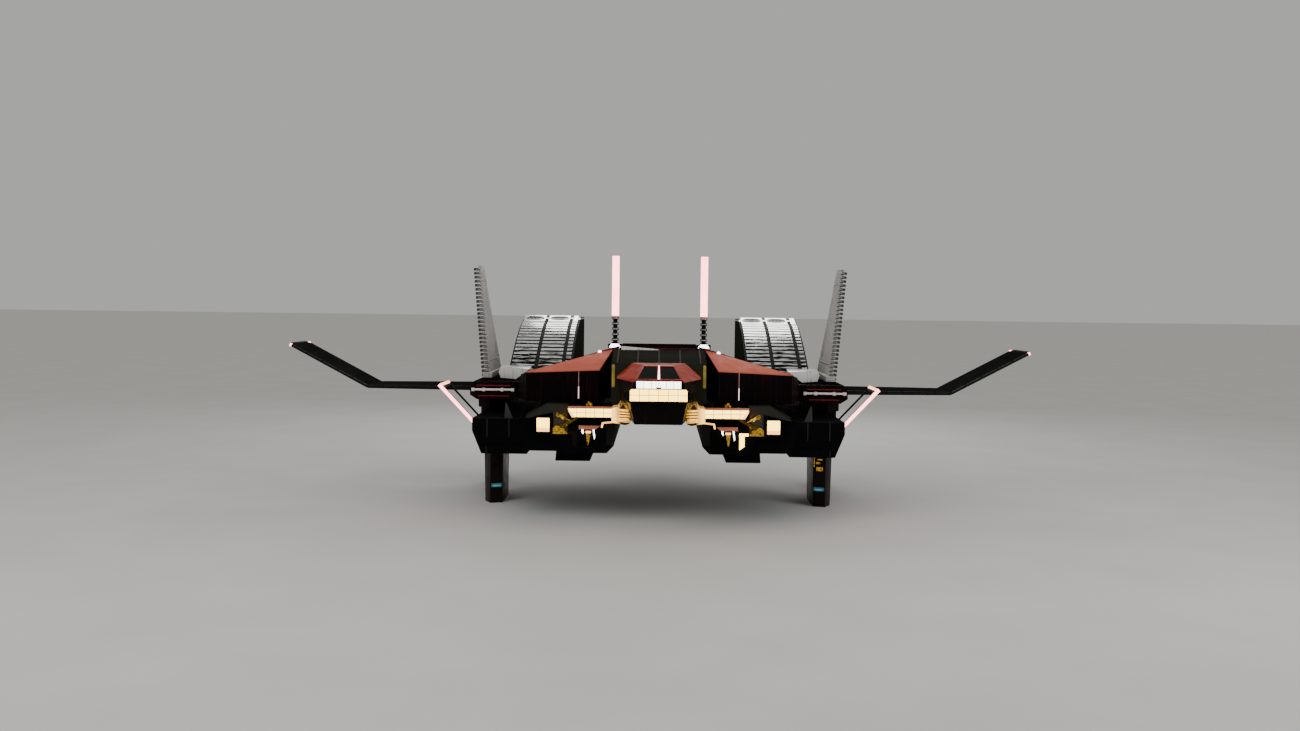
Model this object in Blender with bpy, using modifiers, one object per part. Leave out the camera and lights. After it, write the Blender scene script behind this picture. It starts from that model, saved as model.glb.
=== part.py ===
"""A hovering craft with canted wing tips, standing on two keel skids.

Metres, +Z up, the nose towards -Y. The origin lies on the ground below the middle of the craft.
Port is +X, starboard is -X. Every side piece is shaped on the port side and then handed.
"""
import math

import bmesh
import bpy
from mathutils import Matrix, Vector

# General
GAP = 0.0003
SIDES = ((1, "port"), (-1, "starboard"))

# Centre hull: station, half width, low and high level, corner cut
TRUNK_STATIONS = (
    (-4.60, 1.10, 2.84, 3.78, 0.05),
    (-3.40, 1.10, 2.80, 4.06, 0.05),
    (0.80, 1.10, 2.80, 4.06, 0.05),
    (4.60, 1.05, 2.86, 3.86, 0.18),
)
TRUNK_RIB_X = (-0.955, -0.49, 0.0, 0.49, 0.955)
TRUNK_RIB_HALF = 0.018
TRUNK_RIB_LIFT = 0.014
TRUNK_RAIL_HALF = 0.90
TRUNK_RAIL_RADIUS = 0.034
TAIL_STATIONS = (
    (4.40, 0.92, 2.92, 3.74, 0.20),
    (6.20, 0.62, 3.00, 3.52, 0.20),
    (7.00, 0.44, 3.06, 3.42, 0.14),
)

# Cockpit tub: station, then half width and level of belly, side and belt
BELT_Z = 3.496
TUB_STATIONS = (
    (-6.90, (0.50, 2.60), (0.60, 3.05), (0.54, BELT_Z)),
    (-5.60, (0.60, 2.56), (0.83, 3.02), (0.935, BELT_Z)),
    (-4.6003, (0.60, 2.56), (0.83, 3.02), (0.96, BELT_Z)),
)
TUB_WALL = 0.05
RIM_REACH = 1.5

# Canopy: station, then half width and level of rim and brow
CANOPY_STATIONS = (
    (-6.88, (0.546, BELT_Z + GAP), (0.49, 3.556)),
    (-5.60, (0.935, BELT_Z + GAP), (0.354, 3.784)),
    (-4.64, (0.959, BELT_Z + GAP), (0.60, 3.80)),
)
CANOPY_WALL = 0.03
CANOPY_HINGE = (0.0, -4.64, 3.80)
PANE_POST = 0.035
PANE_EDGE = 0.03
PANE_MARGIN = 0.05
GLASS_THICKNESS = 0.012

# Inside the cockpit
SEAT_HALF = 0.24
SEAT_FOOT_Y = (-5.58, -5.00)
SEAT_SIDE = ((-5.18, 2.88), (-5.02, 3.56), (-4.90, 3.56))
SEAT_FRONT_Z = 2.92
CONSOLE_HALF = 0.38
CONSOLE_FOOT_Y = (-6.72, -6.36)
CONSOLE_SIDE = ((-6.72, 3.40), (-6.60, 3.44), (-6.30, 3.22))

# Nose lamps, seen from the front
NOSE_WALL_Y = -6.90
UPPER_LAMP_FRONT = -6.96
UPPER_LAMP = (
    (-0.494, 3.366), (0.494, 3.366), (0.494, 3.490), (0.460, 3.526), (-0.460, 3.526), (-0.494, 3.490),
)
LOWER_LAMP_FRONT = -7.00
LOWER_LAMP = (
    (-0.600, 3.050), (0.600, 3.050), (0.641, 3.090), (0.641, 3.280), (0.570, 3.358),
    (-0.570, 3.358), (-0.641, 3.280), (-0.641, 3.090),
)

# Shoulders: the red panel is the triangle inner front, outer front, inner rear
SHOULDER_LOW = 2.80
DECK_Z = 3.195
SHOULDER_INNER_FRONT = (1.372, -4.30, 3.62)
SHOULDER_OUTER_FRONT = (3.172, -3.40, 3.499)
SHOULDER_INNER_REAR = (1.113, -2.80, 4.05)
SHOULDER_BACK = ((1.1003, -2.10, 3.98), (3.36, -2.80, 3.40), (1.1003, -1.60, 3.10), (3.50, -2.30, 3.10))
DECK_PLAN = ((1.372, -4.30), (3.172, -3.40), (3.52, -2.35), (3.52, 4.60), (1.1003, 4.60), (1.1003, -2.75))
PANEL_LIFT = 0.03

# Wing pods, seen from the front
POD_Y = (-2.40, 2.60)
POD_LOW = 2.738
POD_OUTER = 4.66
POD_OUTLINE = (
    (3.5203, 2.80), (3.62, POD_LOW), (4.48, POD_LOW), (POD_OUTER, 2.85),
    (POD_OUTER, 3.06), (4.56, DECK_Z - GAP), (3.5203, DECK_Z - GAP),
)

POD_RAIL_X = (3.60, 4.58)
POD_RAIL_Z = 2.985
POD_RAIL_RADIUS = 0.026
POD_BEAD_X = (3.60, 3.86, 4.32, 4.58)
POD_BEAD_RADIUS = 0.044

# Wings: span station, mid level, full thickness
WING_ROOT = (POD_OUTER + GAP, 2.898, 0.156)
WING_FOLD = (7.62, 2.898, 0.110)
WING_TIP = (9.60, 3.950, 0.100)
WING_Y = (-0.60, 1.25)
WING_CREST_Y = (-0.42, 0.80)
WING_EDGE_SHARE = 0.55
TIP_CAP = 0.06
ELEVON_X = (5.20, 7.30)
ELEVON_HINGE_Y = 0.93
ELEVON_GAP = 0.060
ELEVON_NOSE = 0.048

# Fins lean out: (y, level) of the corners, in the fin's own plane
FIN_FOOT = (4.42, DECK_Z)
FIN_HEAD = (4.78, 6.10)
FIN_OUTLINE = ((-0.90, 0.0), (1.90, 0.0), (0.73, 2.92), (-0.30, 2.92))
FIN_THICKNESS = 0.10
TOOTH_COUNT = 27
TOOTH_HALF_HEIGHT = 0.026
TOOTH_DEPTH = 0.09
TOOTH_HALF_WIDTH = (0.068, 0.046)
SPINE_HALF = 0.040
RUDDER_LEVELS = (0.55, 2.45)
RUDDER_CHORD_SHARE = 0.66
RUDDER_GAP = 0.058
RUDDER_NOSE = 0.046
PIN_RADIUS = 0.016
FIN_PLINTH = ((4.30, -1.02, DECK_Z), (4.54, 2.05, DECK_Z + 0.14))

# Nacelles, seen from the side
NACELLE_X = (2.28, 3.90)
BAND_SETBACK = 0.045
NACELLE_LOW = DECK_Z + GAP
SLOPE_START = (-0.85, 3.38)
SLOPE_END = (2.35, 4.62)
SLOPE_POWER = 1.35
RIB_COUNT = 16
RIB_DEPTH = 0.045
NACELLE_TOP = ((2.95, 4.77), (4.70, 4.77), (5.00, 4.62))
NACELLE_REAR = 5.00
GROOVE_SHARES = (0.43, 0.86)
GROOVE_WIDTH = 0.10
GROOVE_DEPTH = 0.06
FAIRING = (
    (3.26, -1.75, 3.47), (3.30, -0.80, 3.50), (4.05, -1.20, 3.50), (4.12, -1.10, 3.36),
    (4.06, -1.15, NACELLE_LOW), (3.62, -1.55, NACELLE_LOW), (3.99, -0.60, 3.50), (3.99, -0.60, NACELLE_LOW),
    (3.30, -0.80, NACELLE_LOW),
)
FAN_CENTRE = (3.075, 3.985)
DUCT_RADIUS = 0.70
DUCT_FLOOR_Y = 4.10
FAN_RADIUS = 0.68
FAN_HUB_RADIUS = 0.20
FAN_Y = (4.50, 4.78)
FAN_BLADES = 8

# Sponsons, seen from the front
INNER_BOX = (
    (1.02, 1.875), (1.18, 1.706), (2.20, 1.706), (2.20, 2.13), (2.08, 2.13), (2.08, 2.7997), (1.30, 2.7997),
    (1.30, 2.45), (1.02, 2.45),
)
INNER_BOX_Y = (-4.60, 1.60)
MID_BOX = ((2.04, 1.72), (2.95, 1.72), (3.17, 1.90), (3.20, 2.45), (2.70, 2.79), (2.04, 2.79))
MID_BOX_Y = (-4.40, 2.20)
OUTER_LOW = 1.594
OUTER_HIGH = 2.42
OUTER_X = 4.37
OUTER_BOX = ((3.08, OUTER_LOW), (4.151, OUTER_LOW), (OUTER_X, 2.134), (OUTER_X, OUTER_HIGH), (3.08, OUTER_HIGH))
OUTER_BOX_Y = (-4.00, 2.60)
BELLY_BOX = ((1.554, 1.80), (1.554, 1.617), (1.606, 1.42), (2.426, 1.42), (2.408, 1.629), (2.408, 1.80))
BELLY_BOX_Y = (-3.80, -0.60)
GUSSET = ((3.42, 2.40), (3.61, 2.40), (3.61, 2.50), (3.595, 2.78), (3.57, 2.78))
GUSSET_Y = (-3.94, -3.88)
WORKS_ROOF = ((2.07, 2.72), (2.07, 2.83), (2.58, 2.84), (3.03, 2.57), (3.06, 2.50), (2.98, 2.50), (2.56, 2.72))
WORKS_ROOF_Y = (-4.58, -4.32)
HOOD_WALL = 0.028
HOOD_REACH = 0.010
PYLON_PLAN = ((3.90, -1.05), (4.32, -1.28), (4.60, -0.85), (4.60, 1.50), (3.90, 1.50))
LIFT_CENTRE = (3.61, -2.55)
LIFT_DUCT_RADIUS = 0.44
LIFT_DUCT_TOP = 2.02
LIFT_FAN_RADIUS = 0.425
LIFT_HUB_RADIUS = 0.12
LIFT_FAN_Z = (1.66, 1.80)
LIFT_BLADES = 6

# Lamps on the sponsons
LAMP_BAR = ((1.0403, 2.53), (1.87, 2.53), (2.06, 2.76), (2.06, 2.80), (1.0403, 2.80))
LAMP_BAR_Y = (-4.90, -4.6003)
HEADLAMP_X = (2.46, 2.80)
HEADLAMP_Z = (2.157, 2.509)
HEADLAMP_Y = (-4.62, -4.4003)

# Brass works between the lamp bar and the headlamp, seen from the front: bars, then round wheels
WORKS_WALL = ((2.0806, -4.445, 2.1306), (2.4314, -4.4003, 2.70))
WORKS_BARS = (
    ((2.11, 2.46), (2.39, 2.24), 0.05), ((2.12, 2.64), (2.39, 2.46), 0.04), ((2.13, 2.20), (2.13, 2.60), 0.04),
)
WORKS_WHEELS = ((2.33, 2.26, 0.075), (2.20, 2.22, 0.055), (2.30, 2.57, 0.05))
WORKS_DEPTH = (-4.53, -4.43)
WORKS_STRUT = ((1.84, 2.50), (1.90, 2.52), (2.25, 2.35), (2.25, 2.29), (2.19, 2.29))
WORKS_STRUT_Y = (-4.64, -4.6006)
WORKS_PEG = ((2.18, -4.64, 2.29), (2.25, -4.43, 2.35))

# Device under the lamp bar, seen from the front
DEVICE_FRONT = -4.68
DEVICE_BACK = -4.6003
DEVICE_BAR = ((1.33, 2.345), (1.82, 2.345), (1.82, 2.26), (1.43, 2.26))
DEVICE_PRONGS = (
    ((1.44, 2.28), (1.52, 2.28), (1.52, 2.14), (1.48, 2.12), (1.44, 2.18)),
    ((1.70, 2.28), (1.76, 2.28), (1.78, 2.06), (1.76, 2.00), (1.72, 2.10)),
)
DEVICE_NOZZLE = ((1.53, 2.28), (1.69, 2.28), (1.63, 1.86), (1.59, 1.86))
DEVICE_SHROUD = (
    ((1.38, 2.02), (1.46, 2.10), (1.46, 1.75), (1.41, 1.75)),
    ((1.78, 2.02), (1.86, 2.10), (1.86, 1.75), (1.81, 1.75)),
    ((1.42, 1.90), (1.84, 1.90), (1.78, 1.72), (1.48, 1.72)),
)
DEVICE_BRACKET = ((1.85, 1.82), (1.98, 1.90), (1.98, 2.14), (2.07, 2.14), (2.07, 2.20), (1.85, 2.20))

# Elbow arms between the cockpit's cheeks and the lamp bars, seen from the front
ELBOW_OUTLINE = (
    (0.7946, 2.94), (0.87, 2.93), (0.92, 2.84), (1.04, 2.82), (1.04, 2.50), (0.74, 2.44),
    (0.64, 2.47), (0.6114, 2.57),
)
ELBOW_Y = (-5.45, -4.70)

KNUCKLE = (
    (0.80, -5.50, 2.52), (0.80, -5.50, 2.82), (0.88, -5.50, 2.86), (1.02, -5.34, 2.80), (1.02, -5.34, 2.54),
    (0.90, -5.50, 2.50), (1.03, -4.95, 2.80), (1.03, -4.95, 2.53), (0.80, -5.40, 2.50), (0.80, -5.40, 2.84),
)
FINGER_COUNT = 4
FINGER_LOW = 2.50
FINGER_PITCH = 0.085
FINGER_HEIGHT = 0.060
FINGER_X = (0.66, 0.83)
FINGER_STEP = 0.03
FINGER_Y = (-5.49, -5.40)
HOOK_PATH = ((0.92, -5.36, 2.51), (1.26, -4.99, 2.44), (1.28, -4.97, 2.35))
HOOK_HALF = 0.017

# Winglets: corners in front view, from the root to the tip
WINGLET_ROOT = (OUTER_X + GAP, 2.16)
WINGLET_TIP = (5.25, 3.10)
WINGLET_Y = (-3.10, -1.95)
WINGLET_THICKNESS = 0.045
STRIP_SIZE = 0.11
TIP_BAR = 0.06

# Keels: a front leg, a rear strut and the skid between them, toed out by the skid's own lines
LEG_TOP = ((3.97, -1.20), (4.285, -1.34), (4.50, -0.95), (4.50, 0.10), (3.97, 0.10))
LEG_FOOT = ((3.99, -1.25), (4.285, -1.36), (4.456, -1.00), (4.456, 0.10), (3.99, 0.10))
SKID_LOW = ((4.02, -1.22), (4.285, -1.33), (4.43, -1.00), (4.90, 3.40), (4.80, 3.60), (4.62, 3.50))
SKID_HEIGHT = 0.20
STRUT_FOOT = ((4.50, 1.95), (4.78, 1.95), (4.86, 2.95), (4.58, 2.95))
STRUT_TOP = ((4.42, 1.70), (4.62, 1.70), (4.62, 2.50), (4.42, 2.50))

# Masts
MAST_PLACE = (1.08, -2.60)
MAST_PLATE_HALF = (0.17, 0.17)
MAST_PLATE_Z = (4.0603, 4.17)
MAST_NECK_RADIUS = 0.055
MAST_RING_RADIUS = 0.085
MAST_RINGS = 5
MAST_NECK_TOP = 4.82
ROD_HALF = 0.084
ROD_TOP = 6.30


def clear_scene():
    """Empties the scene."""
    for item in list(bpy.data.objects):
        bpy.data.objects.remove(item, do_unlink=True)


def new_collection(name):
    """Adds a collection to the scene."""
    collection = bpy.data.collections.new(name)
    bpy.context.scene.collection.children.link(collection)
    return collection


def finish(name, colour, metallic, roughness, glow=0.0):
    """A Principled finish; glow is the emission strength in the same colour."""
    material = bpy.data.materials.new(name)
    material.use_nodes = True
    shader = material.node_tree.nodes["Principled BSDF"]
    shader.inputs["Base Color"].default_value = (*colour, 1.0)
    shader.inputs["Metallic"].default_value = metallic
    shader.inputs["Roughness"].default_value = roughness
    if glow:
        shader.inputs["Emission Color"].default_value = (*colour, 1.0)
        shader.inputs["Emission Strength"].default_value = glow
    material.diffuse_color = (*colour, 1.0)
    return material


def add_mesh(name, bm, material):
    """Turns a bmesh into a named object of the craft."""
    mesh = bpy.data.meshes.new(name)
    bm.to_mesh(mesh)
    bm.free()
    item = bpy.data.objects.new(name, mesh)
    CRAFT.objects.link(item)
    mesh.materials.append(material)
    return item


def block(name, corners, material):
    """A flat-faced solid drawn tight round its corners."""
    bm = bmesh.new()
    for corner in corners:
        bm.verts.new(corner)
    result = bmesh.ops.convex_hull(bm, input=bm.verts)
    spare = [v for v in result["geom_interior"] if isinstance(v, bmesh.types.BMVert)]
    bmesh.ops.delete(bm, geom=spare, context="VERTS")
    bmesh.ops.dissolve_limit(bm, angle_limit=math.radians(0.5), verts=bm.verts, edges=bm.edges)
    bmesh.ops.recalc_face_normals(bm, faces=bm.faces)
    return add_mesh(name, bm, material)


def box(name, low, high, material):
    """A box between two corners."""
    bm = bmesh.new()
    bmesh.ops.create_cube(bm, size=1.0)
    size = Vector(high) - Vector(low)
    middle = (Vector(high) + Vector(low)) / 2
    bmesh.ops.scale(bm, vec=size, verts=bm.verts)
    bmesh.ops.translate(bm, vec=middle, verts=bm.verts)
    return add_mesh(name, bm, material)


def cylinder(name, radius, start, end, material, sides=48):
    """A round bar between two points."""
    axis = Vector(end) - Vector(start)
    place = Matrix.Translation((Vector(start) + Vector(end)) / 2)
    turn = Vector((0, 0, 1)).rotation_difference(axis).to_matrix().to_4x4()
    bm = bmesh.new()
    bmesh.ops.create_cone(
        bm, cap_ends=True, segments=sides, radius1=radius, radius2=radius, depth=axis.length, matrix=place @ turn
    )
    return add_mesh(name, bm, material)


def loft(name, rings, material, close_ring=True, close_ends=True):
    """A skin through rings of the same number of points."""
    bm = bmesh.new()
    rows = [[bm.verts.new(point) for point in ring] for ring in rings]
    count = len(rows[0])
    steps = count if close_ring else count - 1
    for near, far in zip(rows, rows[1:]):
        for i in range(steps):
            j = (i + 1) % count
            bm.faces.new((near[i], near[j], far[j], far[i]))
    if close_ends:
        bm.faces.new(rows[0])
        bm.faces.new(rows[-1])
    bmesh.ops.recalc_face_normals(bm, faces=bm.faces)
    return add_mesh(name, bm, material)


def to_mesh(item, name, material):
    """Replaces a curve or a modified object by its welded mesh, in world space."""
    graph = bpy.context.evaluated_depsgraph_get()
    mesh = bpy.data.meshes.new_from_object(item.evaluated_get(graph))
    mesh.transform(item.matrix_world)
    bm = bmesh.new()
    bm.from_mesh(mesh)
    bmesh.ops.remove_doubles(bm, verts=bm.verts, dist=0.00005)
    bpy.data.objects.remove(item, do_unlink=True)
    bpy.data.meshes.remove(mesh)
    return add_mesh(name, bm, material)


FRONT_VIEW = Matrix(((1, 0, 0), (0, 0, -1), (0, 1, 0))).to_4x4()
SIDE_VIEW = Matrix(((0, 0, 1), (1, 0, 0), (0, 1, 0))).to_4x4()
PLAN_VIEW = Matrix.Identity(4)


def slab(name, outline, low, high, view, material):
    """A flat outline given thickness from low to high along its view's normal."""
    curve = bpy.data.curves.new(name + "_outline", "CURVE")
    curve.dimensions = "2D"
    curve.fill_mode = "BOTH"
    curve.extrude = abs(high - low) / 2
    spline = curve.splines.new("POLY")
    spline.points.add(len(outline) - 1)
    for point, (u, v) in zip(spline.points, outline):
        point.co = (u, v, 0.0, 1.0)
    spline.use_cyclic_u = True
    item = bpy.data.objects.new(name + "_outline", curve)
    CRAFT.objects.link(item)
    item.matrix_world = view @ Matrix.Translation((0, 0, (low + high) / 2))
    bpy.context.view_layer.update()
    return to_mesh(item, name, material)


def front_slab(name, outline, y_low, y_high, material):
    """A slab whose outline is seen from the front."""
    return slab(name, outline, -y_high, -y_low, FRONT_VIEW, material)


def combine(item, others, operation):
    """Joins others to item, or cuts item by them, and drops the others."""
    for other in others:
        step = item.modifiers.new(operation.title(), "BOOLEAN")
        step.operation = operation
        step.solver = "EXACT"
        step.object = other
    bpy.context.view_layer.update()
    name = item.name
    material = item.data.materials[0]
    item.name = name + "_raw"
    result = to_mesh(item, name, material)
    for other in others:
        bpy.data.objects.remove(other, do_unlink=True)
    bm = bmesh.new()
    bm.from_mesh(result.data)
    bmesh.ops.dissolve_limit(bm, angle_limit=math.radians(0.1), verts=bm.verts, edges=bm.edges)
    bm.to_mesh(result.data)
    bm.free()
    return result


def shell(item, wall):
    """Gives an open skin a wall on its inner side."""
    solid = item.modifiers.new("Wall", "SOLIDIFY")
    solid.thickness = wall
    solid.offset = -1.0
    solid.use_even_offset = True
    bpy.context.view_layer.update()
    name = item.name
    material = item.data.materials[0]
    item.name = name + "_skin"
    return to_mesh(item, name, material)


def hand(item, side):
    """Mirrors a port piece to starboard."""
    if side < 0:
        item.data.transform(Matrix.Diagonal((-1, 1, 1, 1)))
        item.data.flip_normals()
    return item


def pivot(item, point):
    """Puts a moving piece's origin on its joint's axis."""
    item.data.transform(Matrix.Translation(-Vector(point)))
    item.location = point
    return item


def cut_corner_ring(y, half, low, high, corner):
    """An eight-cornered cross-section at one station."""
    return [
        (half - corner, y, low), (half, y, low + corner), (half, y, high - corner), (half - corner, y, high),
        (corner - half, y, high), (-half, y, high - corner), (-half, y, low + corner), (corner - half, y, low),
    ]


def make_trunk():
    """Centre hull with its tail."""
    trunk = loft("trunk", [cut_corner_ring(*s) for s in TRUNK_STATIONS], MAROON)
    tail = loft("tail", [cut_corner_ring(*s) for s in TAIL_STATIONS], MAROON)
    (y0, _, _, z0, _), (y1, _, _, z1, _) = TRUNK_STATIONS[:2]
    ribs = []
    for x in TRUNK_RIB_X:
        corners = []
        for y, z in ((y0 + 0.05, z0 + 0.012), (y1, z1)):
            corners += [
                (x + sign * TRUNK_RIB_HALF, y, z + lift) for sign in (1, -1) for lift in (-0.03, TRUNK_RIB_LIFT)
            ]
        ribs.append(block("rib", corners, MAROON))
    rail = cylinder(
        "rail", TRUNK_RAIL_RADIUS, (-TRUNK_RAIL_HALF, y1 - 0.01, z1), (TRUNK_RAIL_HALF, y1 - 0.01, z1), MAROON, 16
    )
    combine(trunk, [tail, rail] + ribs, "UNION")


def make_tub():
    """Open-topped cockpit tub with its floor and four walls."""
    rings = []
    for y, belly, cheek, belt in TUB_STATIONS:
        right = [(half, y, z) for half, z in (belt, cheek, belly)]
        left = [(-half, y, z) for half, z in (belly, cheek, belt)]
        rings.append(right + left)
    tub = shell(loft("cockpit_tub", rings, BLACK, close_ring=False), TUB_WALL)
    above = box("above", (-RIM_REACH, -7.5, BELT_Z), (RIM_REACH, -4.0, BELT_Z + 0.3), BLACK)
    combine(tub, [above], "DIFFERENCE")


def windscreen_frame():
    """Matrix whose X runs across the windscreen, Y up its slope and Z out of it."""
    low = Vector((0, CANOPY_STATIONS[0][0], CANOPY_STATIONS[0][2][1]))
    high = Vector((0, CANOPY_STATIONS[1][0], CANOPY_STATIONS[1][2][1]))
    slope = (high - low).normalized()
    across = Vector((1, 0, 0))
    normal = across.cross(slope)
    turn = Matrix((across, slope, normal)).transposed().to_4x4()
    return Matrix.Translation(low) @ turn, (high - low).length


def pane_outline(side, rise, inset=0.0):
    """One windscreen pane in the windscreen's plane."""
    low_half = CANOPY_STATIONS[0][2][0] - PANE_EDGE
    high_half = CANOPY_STATIONS[1][2][0] - PANE_EDGE
    corners = (
        (PANE_POST + inset, PANE_MARGIN + inset), (low_half - 2 * inset, PANE_MARGIN + inset),
        (high_half - 2 * inset, rise - PANE_MARGIN - inset), (PANE_POST + inset, rise - PANE_MARGIN - inset),
    )
    return [(side * u, v) for u, v in corners]


def make_canopy():
    """Hinged canopy with two window openings, and its panes."""
    rings = []
    for y, rim, brow in CANOPY_STATIONS:
        rings.append([(rim[0], y, rim[1]), (brow[0], y, brow[1]), (-brow[0], y, brow[1]), (-rim[0], y, rim[1])])
    canopy = shell(loft("canopy", rings, RED, close_ring=False, close_ends=False), CANOPY_WALL)
    view, rise = windscreen_frame()
    cutters = [slab("pane_cut", pane_outline(side, rise), -0.10, 0.05, view, BLACK) for side, _ in SIDES]
    cutters.append(box("below", (-RIM_REACH, -7.5, BELT_Z - 0.3), (RIM_REACH, -4.0, BELT_Z + GAP), BLACK))
    canopy = combine(canopy, cutters, "DIFFERENCE")
    pivot(canopy, CANOPY_HINGE)
    for side, word in SIDES:
        outline = pane_outline(side, rise, GAP)
        depth = -CANOPY_WALL / 2
        glass = slab(
            "windscreen_" + word, outline, depth - GLASS_THICKNESS / 2, depth + GLASS_THICKNESS / 2, view, GLASS
        )
        pivot(glass, CANOPY_HINGE)


def floor_level(y):
    """Level of the cockpit floor's upper side at a station."""
    (y0, (_, z0), _, _), (y1, (_, z1), _, _) = TUB_STATIONS[:2]
    share = min(1.0, (y - y0) / (y1 - y0))
    return z0 + (z1 - z0) * share + TUB_WALL + 4 * GAP


def on_floor(feet):
    """Points on the cockpit floor at two stations."""
    return [(y, floor_level(y)) for y in feet]


def make_cockpit_fittings():
    """Seat, console and nose lamps."""
    seat_front, seat_back = on_floor(SEAT_FOOT_Y)
    seat_side = [seat_front, (seat_front[0], SEAT_FRONT_Z), *SEAT_SIDE, seat_back]
    slab("seat", seat_side, -SEAT_HALF, SEAT_HALF, SIDE_VIEW, CLOTH)
    console_front, console_back = on_floor(CONSOLE_FOOT_Y)
    console_side = [console_front, *CONSOLE_SIDE, console_back]
    slab("console", console_side, -CONSOLE_HALF, CONSOLE_HALF, SIDE_VIEW, BLACK)
    front_slab("nose_lamp_upper", UPPER_LAMP, UPPER_LAMP_FRONT, NOSE_WALL_Y - GAP, WHITE_LIGHT)
    front_slab("nose_lamp_lower", LOWER_LAMP, LOWER_LAMP_FRONT, NOSE_WALL_Y - GAP, WARM_LIGHT)


def make_shoulder(side, word):
    """Faceted shoulder with its low deck, and the red panel on top."""
    tops = (SHOULDER_INNER_FRONT, SHOULDER_OUTER_FRONT, SHOULDER_INNER_REAR)
    feet = [(x, y, SHOULDER_LOW) for x, y, _ in tops]
    raised = [(x, y, z - PANEL_LIFT) for x, y, z in tops]
    crest = block("crest", feet + raised + list(SHOULDER_BACK), MAROON)
    shoulder = slab("shoulder_" + word, DECK_PLAN, SHOULDER_LOW, DECK_Z, PLAN_VIEW, MAROON)
    hand(combine(shoulder, [crest], "UNION"), side)
    under = [(x, y, z - PANEL_LIFT + GAP) for x, y, z in tops]
    hand(block("shoulder_panel_" + word, under + list(tops), RED), side)


def make_pod(side, word):
    """Wing pod with the rail and its clips across the front."""
    pod = front_slab("wing_pod_" + word, POD_OUTLINE, *POD_Y, MAROON)
    y = POD_Y[0] - POD_RAIL_RADIUS / 2
    fittings = [cylinder(
        "rail", POD_RAIL_RADIUS, (POD_RAIL_X[0], y, POD_RAIL_Z), (POD_RAIL_X[1], y, POD_RAIL_Z), MAROON, 12
    )]
    for x in POD_BEAD_X:
        fittings.append(box(
            "bead", (x - 0.03, POD_Y[0] - 0.05, POD_RAIL_Z - POD_BEAD_RADIUS),
            (x + 0.03, POD_Y[0] + 0.02, POD_RAIL_Z + POD_BEAD_RADIUS), MAROON,
        ))
    hand(combine(pod, fittings, "UNION"), side)


def wing_ring(station):
    """Six-cornered wing section at a span station."""
    x, z, thickness = station
    half = thickness / 2
    edge = half * WING_EDGE_SHARE
    return [
        (x, WING_Y[0], z - edge), (x, WING_Y[0], z + edge), (x, WING_CREST_Y[0], z + half),
        (x, WING_CREST_Y[1], z + half), (x, WING_Y[1], z + edge * 0.4), (x, WING_Y[1], z - edge * 0.4),
        (x, WING_CREST_Y[1], z - half), (x, WING_CREST_Y[0], z - half),
    ]


def make_wing(side, word):
    """Wing with a turned-up tip, its light cap and its elevon."""
    wing = loft("wing_" + word, [wing_ring(s) for s in (WING_ROOT, WING_FOLD, WING_TIP)], DARK_PANEL)
    notch = box(
        "notch", (ELEVON_X[0], ELEVON_HINGE_Y - ELEVON_GAP, 2.5), (ELEVON_X[1], WING_Y[1] + 0.2, 3.3), DARK_PANEL
    )
    hand(combine(wing, [notch], "DIFFERENCE"), side)
    x, z, thickness = WING_TIP
    rise = TIP_CAP * (WING_TIP[1] - WING_FOLD[1]) / (WING_TIP[0] - WING_FOLD[0])
    inner = wing_ring((x + GAP, z, thickness))
    outer = wing_ring((x + TIP_CAP, z + rise, thickness))
    hand(loft("wing_light_" + word, [inner, outer], PINK_LIGHT), side)
    make_elevon(side, word)


def make_elevon(side, word):
    """Elevon that turns on two pins in the wing's trailing edge."""
    z = WING_ROOT[1]
    half = 0.044
    tail = 0.012
    corners = []
    for x in (ELEVON_X[0] + 0.008, ELEVON_X[1] - 0.008):
        corners += [
            (x, ELEVON_HINGE_Y - ELEVON_NOSE, z), (x, ELEVON_HINGE_Y, z - half), (x, ELEVON_HINGE_Y, z + half),
            (x, WING_Y[1], z - tail), (x, WING_Y[1], z + tail),
        ]
    elevon = block("elevon_" + word, corners, DARK_PANEL)
    pin = cylinder(
        "pin", 0.02, (ELEVON_X[0] + GAP, ELEVON_HINGE_Y, z), (ELEVON_X[1] - GAP, ELEVON_HINGE_Y, z), STEEL, 16
    )
    elevon = hand(combine(elevon, [pin], "UNION"), side)
    pivot(elevon, (side * sum(ELEVON_X) / 2, ELEVON_HINGE_Y, z))


def fin_view():
    """Matrix of the fin's plane: X runs aft, Y up the lean and Z outwards."""
    foot = Vector((FIN_FOOT[0], 0, FIN_FOOT[1]))
    head = Vector((FIN_HEAD[0], 0, FIN_HEAD[1]))
    up = (head - foot).normalized()
    aft = Vector((0, 1, 0))
    turn = Matrix((aft, up, aft.cross(up))).transposed().to_4x4()
    return Matrix.Translation(foot) @ turn


def chord_at(level):
    """Leading and trailing edge of the fin at a level up its plane."""
    share = level / FIN_OUTLINE[2][1]
    lead = FIN_OUTLINE[0][0] + (FIN_OUTLINE[3][0] - FIN_OUTLINE[0][0]) * share
    trail = FIN_OUTLINE[1][0] + (FIN_OUTLINE[2][0] - FIN_OUTLINE[1][0]) * share
    return lead, trail


def hinge_at(level):
    """Place of the rudder's hinge line at a level."""
    lead, trail = chord_at(level)
    return lead + (trail - lead) * RUDDER_CHORD_SHARE


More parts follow.
